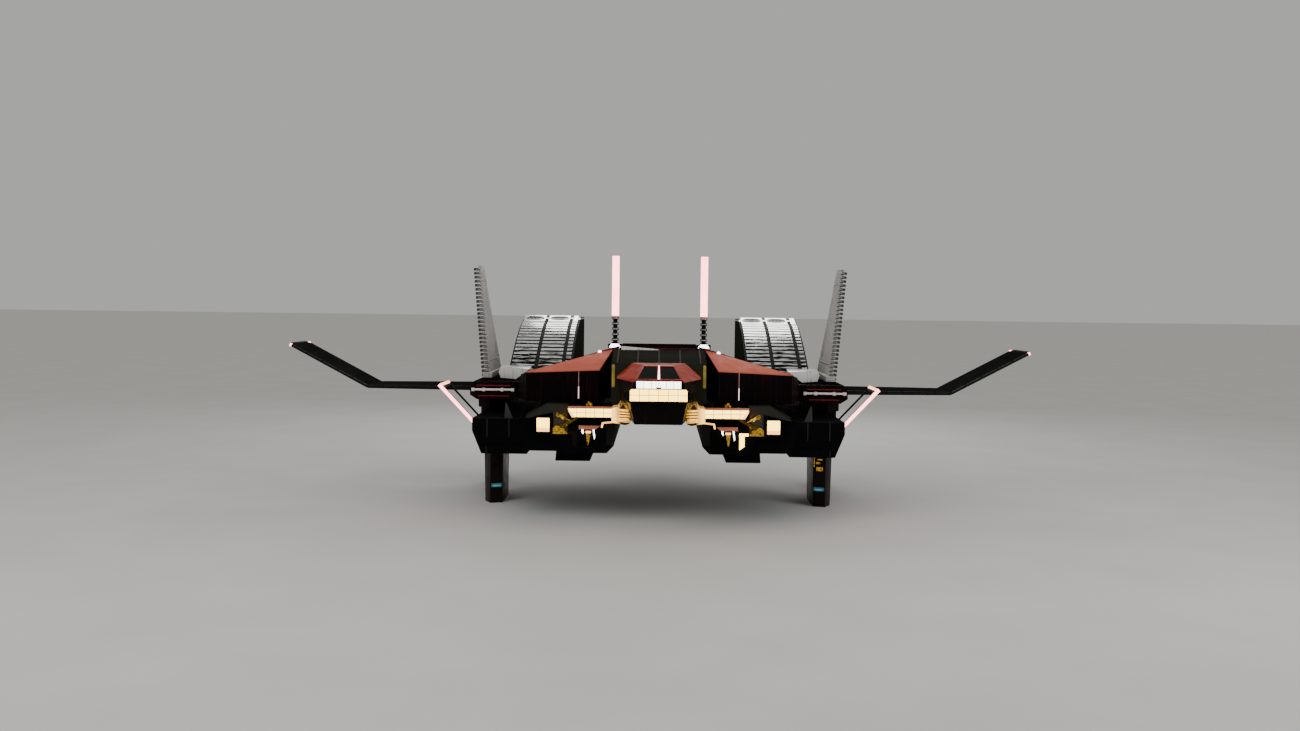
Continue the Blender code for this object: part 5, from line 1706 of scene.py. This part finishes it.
    def grooves(self) -> None:
        """Dark liners in the two grooves across the bands, and in the setbacks at both sides."""
        bands = self.bands()
        low, high = self.x_range
        gaps = [(x0 + 0.002, x1 - 0.002, 0.052) for (_, x0), (x1, _) in zip(bands, bands[1:])]
        gaps += [
            (low - 0.002, low + self.setback - 0.002, 0.056), (high - self.setback + 0.002, high + 0.002, 0.056),
        ]
        liners = [
            [(x, y, z - sink - drop) for x in (x0, x1) for y, z in run for drop in (0.0, 0.03)]
            for x0, x1, sink in gaps for run in self.runs(4.66)
        ]
        self.solid("nacelle_grooves", Paint.RUBBER, "dark_panel", *liners)

    def inner_side(self) -> None:
        """A dark sheet over the inner side."""
        low = self.x_range[0]
        panel = [
            [(x, y, z) for x in (low - 0.006, low + 0.01) for y, top in run for z in (3.30, top - 0.11)]
            for run in self.runs(4.70)
        ]
        self.solid("nacelle_inner_side", Paint.GUNMETAL, "dark_panel", *panel)

    def rear(self) -> None:
        """A rolled rim and its bolts round the fan's duct."""
        x, y, z = self.duct
        rim = bmesh.new()
        add_ring(rim, (x, y - 0.003, z), (0, 1, 0), (0.698, 0.752), 0.030, 96)
        soften(rim, 0.008, 2)
        self.put("fan_duct_rim", rim, Paint.CHROME, "bright_steel", smooth=50)
        bolts = bmesh.new()
        for angle in (math.tau * (i + 0.5) / self.bolts for i in range(self.bolts)):
            place = Vector((x + self.bolt_circle * math.cos(angle), y, z + self.bolt_circle * math.sin(angle)))
            add_rod(bolts, place + Vector((0, 0.008, 0)), place + Vector((0, 0.018, 0)), 0.010, 6)
        self.put("fan_duct_bolts", bolts, Paint.DARK_STEEL, "dark_panel")


@dataclass
class Fans(Assembly):
    """The thrust fan behind the nacelle and the lift fan under the sponson."""

    spinner: Place = (3.075, 4.78, 3.985)
    spinner_size: Place = (0.17, 0.12, 0.17)
    lift: Span = (3.61, -2.55)

    def build(self) -> None:
        """Makes the fans' skins and spinners, and the lit ring and the lip in the lift duct."""
        for name in ("fan", "lift_fan"):
            self.skin(name, Paint.DARK_STEEL, "bright_steel", 0.004, 1, body=name)
        spinner = bmesh.new()
        add_ball(spinner, self.spinner, 1.0, 32, self.spinner_size)
        self.put("fan_spinner", spinner, Paint.STEEL, "bright_steel", "fan", smooth=60)
        for name, paint, slot, level, radii, height in (
            ("lift_duct_lamp", Paint.TEAL, "white_light", 1.95, (0.40, 0.437), 0.06),
            ("lift_duct_lip", Paint.GREY, "grey_metal", 1.60, (0.438, 0.475), 0.022),
        ):
            ring = bmesh.new()
            add_ring(ring, (*self.lift, level), (0, 0, 1), radii, height, 64)
            self.put(name, ring, paint, slot)


@dataclass
class Sponson(Assembly):
    """The black sponson, with its front seams, the works between its lamps and the device under the lamp bar."""

    front_y: float = -4.00
    mid_y: float = -4.40
    inner_y: float = -4.60
    seam_x: Span = (3.50, 4.016)
    gusset_y: Span = (-3.9425, -3.8775)
    gusset: Outline = ((3.417, 2.416), (3.613, 2.416), (3.613, 2.501), (3.597, 2.783), (3.568, 2.783))
    pylon: Outline = ((4.312, -1.29), (4.665, -0.86), (4.665, -0.60), (4.602, -0.60), (4.602, -0.84))
    pylon_z: Span = (2.43, 2.737)
    roof_y: Span = (-4.583, -4.32)
    roof_outline: Outline = (
        (2.067, 2.717), (2.067, 2.833), (2.581, 2.843), (3.033, 2.571), (3.062, 2.498), (2.979, 2.498),
        (2.559, 2.717),
    )
    roof_line: Outline = ((2.07, 2.836), (2.58, 2.846), (3.055, 2.53))
    shoe_y: Span = (-4.57, -4.4476)
    shoe: Outline = ((2.430, 2.135), (2.430, 2.27), (2.36, 2.31), (2.27, 2.29), (2.10, 2.17), (2.085, 2.135))
    device_y: Span = (-4.6815, -4.6003)
    bracket: Outline = ((1.862, 1.82), (1.98, 1.90), (1.98, 2.20), (1.862, 2.20))

    def build(self) -> None:
        """Makes the sponson."""
        self.body()
        self.trim()
        self.roof()
        self.works()
        self.device()

    def body(self) -> None:
        """The skin, with joints across the outer and the middle box."""
        sponson = carve(self.copy("sponson"), (
            box((3.22, self.front_y - 0.1, 1.79), (4.30, self.front_y + 0.014, 1.812)),
            box((2.62, self.mid_y - 0.1, 1.99), (3.16, self.mid_y + 0.014, 2.012)),
        ))
        soften(sponson, 0.012, 2, 20)
        self.put("sponson_skin", sponson, Paint.BLACK, "black_enamel", replaces="sponson")

    def trim(self) -> None:
        """Upright seams, a grey gusset on the outer box, the pylon's front edge and the inner box's."""
        y = self.front_y
        seams = [box((x - 0.016, y - 0.008, 1.99), (x + 0.016, y + 0.02, 2.41)) for x in self.seam_x]
        seams.append(box((4.02, y - 0.006, 1.60), (4.045, y + 0.02, 1.76)))
        self.solid("sponson_seams", Paint.GUNMETAL, "grey_metal", *seams, soft=(0.003, 1))
        self.solid(
            "sponson_gusset", Paint.GUSSET, "grey_metal", prism(self.gusset_y, self.gusset), soft=(0.004, 1)
        )
        self.solid("pylon_fairing", Paint.PYLON, "black_enamel", slab(self.pylon, self.pylon_z), soft=(0.010, 2))
        edge = box((1.012, self.inner_y - 0.003, 1.90), (1.19, self.inner_y + 0.02, 2.42))
        self.solid("sponson_inner_edge", Paint.WING, "black_enamel", edge, soft=(0.002, 1))

    def roof(self) -> None:
        """The roof between the lamp bar and the headlamp, with a rounded front edge."""
        roof = prism(self.roof_y, self.roof_outline)
        self.solid("works_roof", Paint.ROOF, "dark_panel", roof, soft=(0.010, 2))
        edges = [
            bar((xa, -4.584, za), (xb, -4.584, zb), 0.014, 0.012, (0, 1, 0))
            for (xa, za), (xb, zb) in zip(self.roof_line, self.roof_line[1:])
        ]
        self.solid("works_roof_edge", Paint.PYLON, "grey_metal", *edges)

    def works(self) -> None:
        """The brass works in the bay between the lamp bar and the headlamp, on a dark wall, with painted lamplight: a
        faint amber glow on the wall, and glowing gilt glints on the shoe, strokes and rims.
        """
        self.skin("lamp_works", Paint.DULL_BRASS, "gold_plate", 0.004, 1)
        # Painted lamplight: the wall glows faint amber, though it is no lamp.
        wall = box((2.0812, -4.4475, 2.132), (2.4308, -4.4455, 2.698))
        self.solid("works_wall", Paint.AMBER_DIM, "gold_plate", wall)
        self.solid("works_shoe", Paint.OLD_GILT, "gold_plate", prism(self.shoe_y, self.shoe), soft=(0.008, 2))
        # Painted highlights: gilt strokes for the gold glints in the bay.
        strokes = [
            bar(start, end, width, 0.018, (0, -1, 0)) for start, end, width in (
                ((2.345, -4.47, 2.615), (2.09, -4.622, 2.485), 0.034),
                ((2.09, -4.622, 2.485), (1.985, -4.622, 2.43), 0.026),
                ((2.29, -4.48, 2.275), (2.09, -4.655, 2.352), 0.034),
                ((2.31, -4.475, 2.60), (2.17, -4.56, 2.48), 0.055),
            )
        ]
        self.solid("works_glint_strokes", Paint.OLD_GILT, "gold_plate", *strokes)
        rims = bmesh.new()
        for x, y, z, radius in ((2.33, -4.572, 2.26, 0.075), (2.20, -4.572, 2.22, 0.055), (2.30, -4.532, 2.57, 0.05)):
            add_ring(rims, (x, y, z), (0, 1, 0), (radius * 0.55, radius * 0.98), 0.016, 28)
            add_rod(rims, (x, y - 0.010, z), (x, y + 0.02, z), radius * 0.28, 12)
        self.put("works_rims", rims, Paint.OLD_GILT, "gold_plate")

    def device(self) -> None:
        """The pale bar, prongs, brass nozzle, dark shroud and bracket under the lamp bar; the bracket glows warm to
        port and stays dark to starboard, as painted lamplight.
        """
        front, back = self.device_y
        plates = (
            ("device_bar", 0.0, Paint.BLUSH, "red_enamel", 0.006,
             (((1.33, 2.346), (1.821, 2.346), (1.821, 2.259), (1.43, 2.259)),)),
            ("device_prongs", 0.01, Paint.WHITE, "white_light", 0.005,
             (((1.452, 2.258), (1.490, 2.258), (1.502, 2.166), (1.482, 2.152), (1.452, 2.200)),
              ((1.710, 2.258), (1.740, 2.258), (1.762, 2.079), (1.750, 2.030), (1.728, 2.109)))),
            ("device_collar", 0.021, Paint.CRIMSON, "gold_plate", 0.004,
             (((1.529, 2.258), (1.691, 2.258), (1.688, 2.222), (1.532, 2.222)),)),
            ("device_nozzle", 0.02, Paint.CREAM, "gold_plate", 0.006,
             (((1.539, 2.215), (1.667, 2.215), (1.660, 2.170), (1.549, 2.170)),)),
            ("device_tip", 0.0205, Paint.OLD_GILT, "gold_plate", 0.004,
             (((1.551, 2.169), (1.658, 2.169), (1.626, 1.898), (1.596, 1.898)),)),
            ("device_shroud", 0.015, Paint.BLACK, "black_enamel", 0.006,
             (((1.379, 2.021), (1.461, 2.102), (1.461, 1.749), (1.41, 1.749)),
              ((1.779, 2.021), (1.861, 2.102), (1.861, 1.749), (1.81, 1.749)),
              ((1.419, 1.901), (1.841, 1.901), (1.78, 1.719), (1.48, 1.719)))),
        )
        for name, setback, paint, slot, edge, outlines in plates:
            if name == "device_prongs" and self.side is Side.STARBOARD:
                outlines = [[(3.21 - x, z) for x, z in outline] for outline in outlines]
            self.solid(
                name, paint, slot, *[prism((front + setback, back), outline) for outline in outlines],
                soft=(edge, 2), replaces="lamp_device" if name == "device_bar" else "",
            )
        # Painted lamplight: the same bracket is a warm glow to port and dark to starboard.
        lit = self.side is Side.PORT
        self.solid(
            "device_bracket", Paint.WARM if lit else Paint.PYLON, "warm_light" if lit else "black_enamel",
            prism((front + 0.025, back), self.bracket), box((1.862, front + 0.024, 2.14), (2.07, back, 2.201)),
            soft=(0.005, 1),
        )


@dataclass
class Elbow(Assembly):
    """The arm from the cockpit's cheek to the lamp bar, with gilt fingers and a claw along the cheek, all in glowing
    gilt that is painted lamplight.
    """

    fingers: tuple[tuple[Point, Point], ...] = (
        ((0.614, 2.834, 2.880), (0.765, 2.754, 2.800)), ((0.596, 2.774, 2.804), (0.745, 2.694, 2.724)),
        ((0.596, 2.710, 2.744), (0.725, 2.632, 2.666)), ((0.612, 2.590, 2.680), (0.705, 2.520, 2.606)),
    )
    finger_y: Span = (-6.45, -5.42)
    tip_width: float = 0.022
    root_x: float = 0.93
    claw: tuple[tuple[Point, Point], ...] = (
        ((0.665, -6.50, 2.950), (0.79, -6.05, 3.000)), ((0.79, -6.05, 3.000), (0.835, -5.43, 2.860)),
        ((0.665, -6.50, 2.950), (0.675, -6.28, 2.865)),
    )
    claw_size: float = 0.030
    knob_y: float = -4.78
    knob: tuple[Place, ...] = ((1.55, 2.835, 0.045), (1.62, 2.830, 0.036), (1.585, 2.880, 0.034))

    def build(self) -> None:
        """Makes the arm."""
        self.hand_pieces()
        self.skin("elbow", Paint.GILT, "gold_plate", 0.008, 2, 20, smooth=24)

    def hand_pieces(self) -> None:
        """The four fingers, from the arm's knuckle along the cheek, the claw over them and the lamp bar's knob, which
        stands for a gold glint on the bar.
        """
        y_tip, y_root = self.finger_y
        fingers = [
            [(x, y_tip, z) for x in (tip_x, tip_x + self.tip_width) for z in tip_z]
            + [(x, y_root, z) for x in (start_x, self.root_x) for z in root_z]
            for (tip_x, *tip_z), (start_x, *root_z) in self.fingers
        ]
        self.solid("elbow_fingers", Paint.FINGER, "gold_plate", *fingers, soft=(0.005, 2))
        claw = [bar(start, end, self.claw_size, self.claw_size) for start, end in self.claw]
        self.solid("elbow_claw", Paint.OLD_GILT, "gold_plate", *claw, soft=(0.004, 1))
        knob = bmesh.new()
        for x, z, radius in self.knob:
            place = Matrix.Translation((x, self.knob_y, z))
            bmesh.ops.create_icosphere(knob, subdivisions=3, radius=radius, matrix=place)
        self.put("lamp_bar_knob", knob, Paint.OLD_GILT, "gold_plate", smooth=60)


@dataclass
class Winglet(Assembly):
    """The canted winglet: a dark red backing behind a bent light bar, whose end runs aft along the panel's tip."""

    root: Place = (4.3703, 0, 2.16)
    tip: Place = (5.25, 0, 3.10)
    lean: Place = (0.68343, 0, 0.73001)
    aft: Span = (-3.145, -1.948)
    backing_y: Span = (-3.0995, -3.05)
    window_y: Span = (-3.02, -1.995)
    tube_share: float = 0.60

    def build(self) -> None:
        """Makes the winglet."""
        root, tip, along = Vector(self.root), Vector(self.tip), Vector(self.lean)
        across = Vector((-along.z, 0, along.x))
        window = [
            place + across * reach + Vector((0, y, 0))
            for place in (root + along * 0.09, tip - along * 0.055) for reach in (-0.1, 0.1) for y in self.window_y
        ]
        panel = carve(self.copy("winglet"), (window,))
        soften(panel, 0.006, 1)
        self.put("winglet_skin", panel, Paint.PANEL, "dark_panel", replaces="winglet")
        tube = self.copy("winglet_light")
        soften(tube, 0.012, 2)
        for vert in tube.verts:
            shift = (vert.co - tip).dot(across)
            vert.co -= across * (shift * (1 - self.tube_share))
        self.put("winglet_light_skin", tube, Paint.PINK, "pink_light", replaces="winglet_light")
        for name, paint, slot, reaches, half, run, soft in (
            ("winglet_backing", Paint.CRIMSON, "maroon_enamel", (root + along * 0.07, tip), 0.044,
             self.backing_y, None),
            ("winglet_tip_sleeve", Paint.CREAM, "pink_light", (tip + along * 0.006, tip + along * 0.0625), 0.046,
             self.aft, (0.010, 2)),
        ):
            self.solid(name, paint, slot, [
                place + across * (half * sign) + Vector((0, y, 0))
                for place in reaches for sign in (1, -1) for y in run
            ], soft=soft)


@dataclass
class Keel(Assembly):
    """The keel's leg, strut and skid in dark bronze lacquer, with a glowing teal marker that is a painted reflection,
    a ladder with a painted gold reflection to port, and a rubber sole.
    """

    marker: Outline = ((4.00, -1.258), (4.26, -1.352), (4.26, -1.30), (4.00, -1.20))
    core: Outline = ((4.03, -1.276), (4.22, -1.344), (4.22, -1.30), (4.03, -1.23))
    rungs: tuple[tuple[Span, Span], ...] = (
        ((1.02, 1.47), (3.995, 4.018)), ((1.40, 1.43), (4.06, 4.20)), ((1.30, 1.335), (4.05, 4.16)),
        ((1.20, 1.23), (4.08, 4.21)), ((1.10, 1.15), (4.05, 4.15)), ((0.92, 1.02), (4.06, 4.22)),
    )

    def build(self) -> None:
        """Makes the keel."""
        self.skin("keel", Paint.BRONZE, "bronze", 0.016)
        # Painted reflection: the teal marker and its core glow where the leg mirrors teal light; there is no lamp
        # there.
        self.solid("keel_marker", Paint.TEAL_DIM, "white_light", slab(self.marker, (0.40, 0.50)), soft=(0.01, 2))
        self.solid("keel_marker_core", Paint.TEAL_BAR, "white_light", slab(self.core, (0.425, 0.455)))
        self.ladder()
        self.solid("keel_sole", Paint.RUBBER, "bronze", box((4.03, -1.10, 0.0), (4.42, -0.2, 0.02)))

    def ladder(self) -> None:
        """The bar and rungs beside the leg's inner edge, in glowing gilt to port as a painted gold reflection, and
        dark to starboard.
        """
        rungs = [
            [(x, self.face_y(x) - out, z) for x in ends for z in levels for out in (0.008, -0.01)]
            for levels, ends in self.rungs
        ]
        # Painted reflection: only the port ladder is lit gold, the starboard one stays dark.
        lit = self.side is Side.PORT
        self.solid("keel_ladder", Paint.OLD_GILT if lit else Paint.CHEEK, "gold_plate" if lit else "bronze", *rungs)

    def face_y(self, x: float) -> float:
        """Station of the leg's slanted front face."""
        return -1.258 - 0.36 * (x - 4.00)


@dataclass
class Mast(Assembly):
    """The mast's lit foot, sprung neck and light rod, and the small lamp on the ridge beside it."""

    place: Span = (1.08, -2.60)
    foot: tuple[Span, ...] = ((4.072, 0.140), (4.112, 0.126), (4.168, 0.085))
    ring_count: int = 5
    ring_pitch: float = 0.13
    dome: Place = (1.44, -2.88, 3.965)
    dome_radius: float = 0.045

    def build(self) -> None:
        """Makes the mast."""
        self.skin("mast", Paint.DARK_STEEL, "bright_steel", 0.008)
        x, y = self.place
        plate = [
            (x + sx * half, y - 0.1725 + back, z) for sx in (1, -1) for z, half in self.foot for back in (0.0, 0.30)
        ]
        self.solid("mast_foot_plate", Paint.WHITE, "white_light", plate, soft=(0.008, 2))
        rings = bmesh.new()
        for i in range(self.ring_count):
            add_ring(rings, (x, y, 4.7875 - i * self.ring_pitch), (0, 0, 1), (0.079, 0.088), 0.030, 28)
        soften(rings, 0.004, 2)
        self.put("mast_rings", rings, Paint.STEEL, "bright_steel", smooth=50)
        self.skin("mast_rod", Paint.PINK, "pink_light", 0.014)
        boot = bmesh.new()
        add_ball(boot, (x, y, 4.165), 1.0, 32, (0.10, 0.10, 0.05))
        self.put("mast_boot", boot, Paint.RUBBER, "bright_steel", smooth=60)
        collar = box((x - 0.088, y - 0.088, 4.822), (x + 0.088, y + 0.088, 4.846))
        self.solid("mast_collar", Paint.CRIMSON, "maroon_enamel", collar, soft=(0.005, 1))
        dome = bmesh.new()
        add_ball(dome, self.dome, self.dome_radius, 24)
        self.put("ridge_lamp", dome, Paint.WHITE, "white_light", smooth=60)


@dataclass
class Stage:
    """Floor, lights and camera."""

    focal_mm: float = 35.0
    sensor_mm: float = 36.0
    camera_place: Place = (0.0, -33.5, 5.19)
    pitch_deg: float = -2.876
    yaw_deg: float = 0.41
    roll_deg: float = 0.69
    floor_size: float = 400.0
    surround: str = "C6C6C3"
    surround_strength: float = 0.8
    lamps: tuple[tuple[str, Place, float, float], ...] = (
        ("key", (-14, -22, 20), 16, 2000), ("fill", (18, -16, 12), 16, 1150), ("rim", (1, 22, 16), 14, 1500),
    )
    aim: Place = (0, 0, 3)

    def build(self) -> None:
        """Makes the floor, the lights and the camera."""
        self.floor()
        self.lights()
        self.camera()

    def camera(self) -> None:
        """Sets the camera where the photograph was taken from."""
        data = bpy.data.cameras.new("camera")
        data.lens = self.focal_mm
        data.sensor_width = self.sensor_mm
        data.clip_end = 500
        item = bpy.data.objects.new("camera", data)
        bpy.context.scene.collection.objects.link(item)
        turn = Matrix.Rotation(math.radians(self.yaw_deg), 4, "Z")
        turn = turn @ Matrix.Rotation(math.radians(90 + self.pitch_deg), 4, "X")
        turn = turn @ Matrix.Rotation(math.radians(self.roll_deg), 4, "Z")
        item.matrix_world = Matrix.Translation(self.camera_place) @ turn
        bpy.context.scene.camera = item

    def floor(self) -> None:
        """Makes the pale floor."""
        bm = bmesh.new()
        bmesh.ops.create_grid(bm, x_segments=2, y_segments=2, size=self.floor_size)
        as_object("floor", bm, Paint.FLOOR)

    def lights(self) -> None:
        """Hangs three soft lights and sets an even surround."""
        world = bpy.data.worlds.new("surround")
        bpy.context.scene.world = world
        world.use_nodes = True
        backdrop = world.node_tree.nodes["Background"]
        backdrop.inputs["Color"].default_value = linear(self.surround)
        backdrop.inputs["Strength"].default_value = self.surround_strength
        for name, place, size, power in self.lamps:
            data = bpy.data.lights.new(name, "AREA")
            data.shape = "DISK"
            data.size = size
            data.energy = power
            lamp = bpy.data.objects.new(name, data)
            bpy.context.scene.collection.objects.link(lamp)
            lamp.location = place
            aim = Vector(self.aim) - Vector(place)
            lamp.rotation_euler = aim.to_track_quat("-Z", "Y").to_euler()


def plain_nodes() -> None:
    """Dresses the CAD nodes that keep their own shape."""
    paints = {
        Paint.GLASS: "windscreen", Paint.GILT: "elbow", Paint.CLOTH: "seat", Paint.GREY: "fin rudder",
        Paint.BLACK: "console cockpit_tub sponson", Paint.MAROON: "trunk shoulder wing_pod",
        Paint.RED: "canopy shoulder_panel", Paint.PANEL: "wing elevon winglet", Paint.STEEL: "nacelle",
        Paint.PINK: "wing_light winglet_light mast_rod", Paint.DARK_STEEL: "fan lift_fan mast",
        Paint.WARM: "lamp_bar headlamp nose_lamp_lower", Paint.WHITE: "nose_lamp_upper",
        Paint.BRASS: "lamp_works lamp_device", Paint.BRONZE: "keel",
    }
    stems = {stem: paint for paint, names in paints.items() for stem in names.split()}
    for name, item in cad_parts.items():
        stem = name.removesuffix("_port").removesuffix("_starboard")
        item.data.materials.clear()
        item.data.materials.append(stems[stem].material())


def main() -> None:
    """Builds the craft's looks in order."""
    logging.basicConfig(level=logging.INFO, format="%(message)s")
    Stage().build()
    plain_nodes()
    CentreHull().build()
    Cockpit().build()
    LampPanel(node_name="nose_lamp_lower", trim=(0.032, 0.032, 0.050, 0.0), sided=False).build()
    LampPanel(
        node_name="nose_lamp_upper", slot="white_light", paint=Paint.WHITE, rows=1, trim=(0.02, 0.02, 0.0, 0.0),
        sided=False,
    ).build()
    for side in Side:
        Shoulder(side).build()
        WingPod(side).build()
        Wing(side).build()
        Fin(side).build()
        Nacelle(side).build()
        Fans(side).build()
        Sponson(side).build()
        LampPanel(side, node_name="lamp_bar", columns=5, trim=(0.0, 0.0, 0.028, 0.040)).build()
        for part in (LampBarEnds, Headlamp, Elbow, Winglet, Keel, Mast):
            part(side).build()


if __name__ == "__main__":
    main()
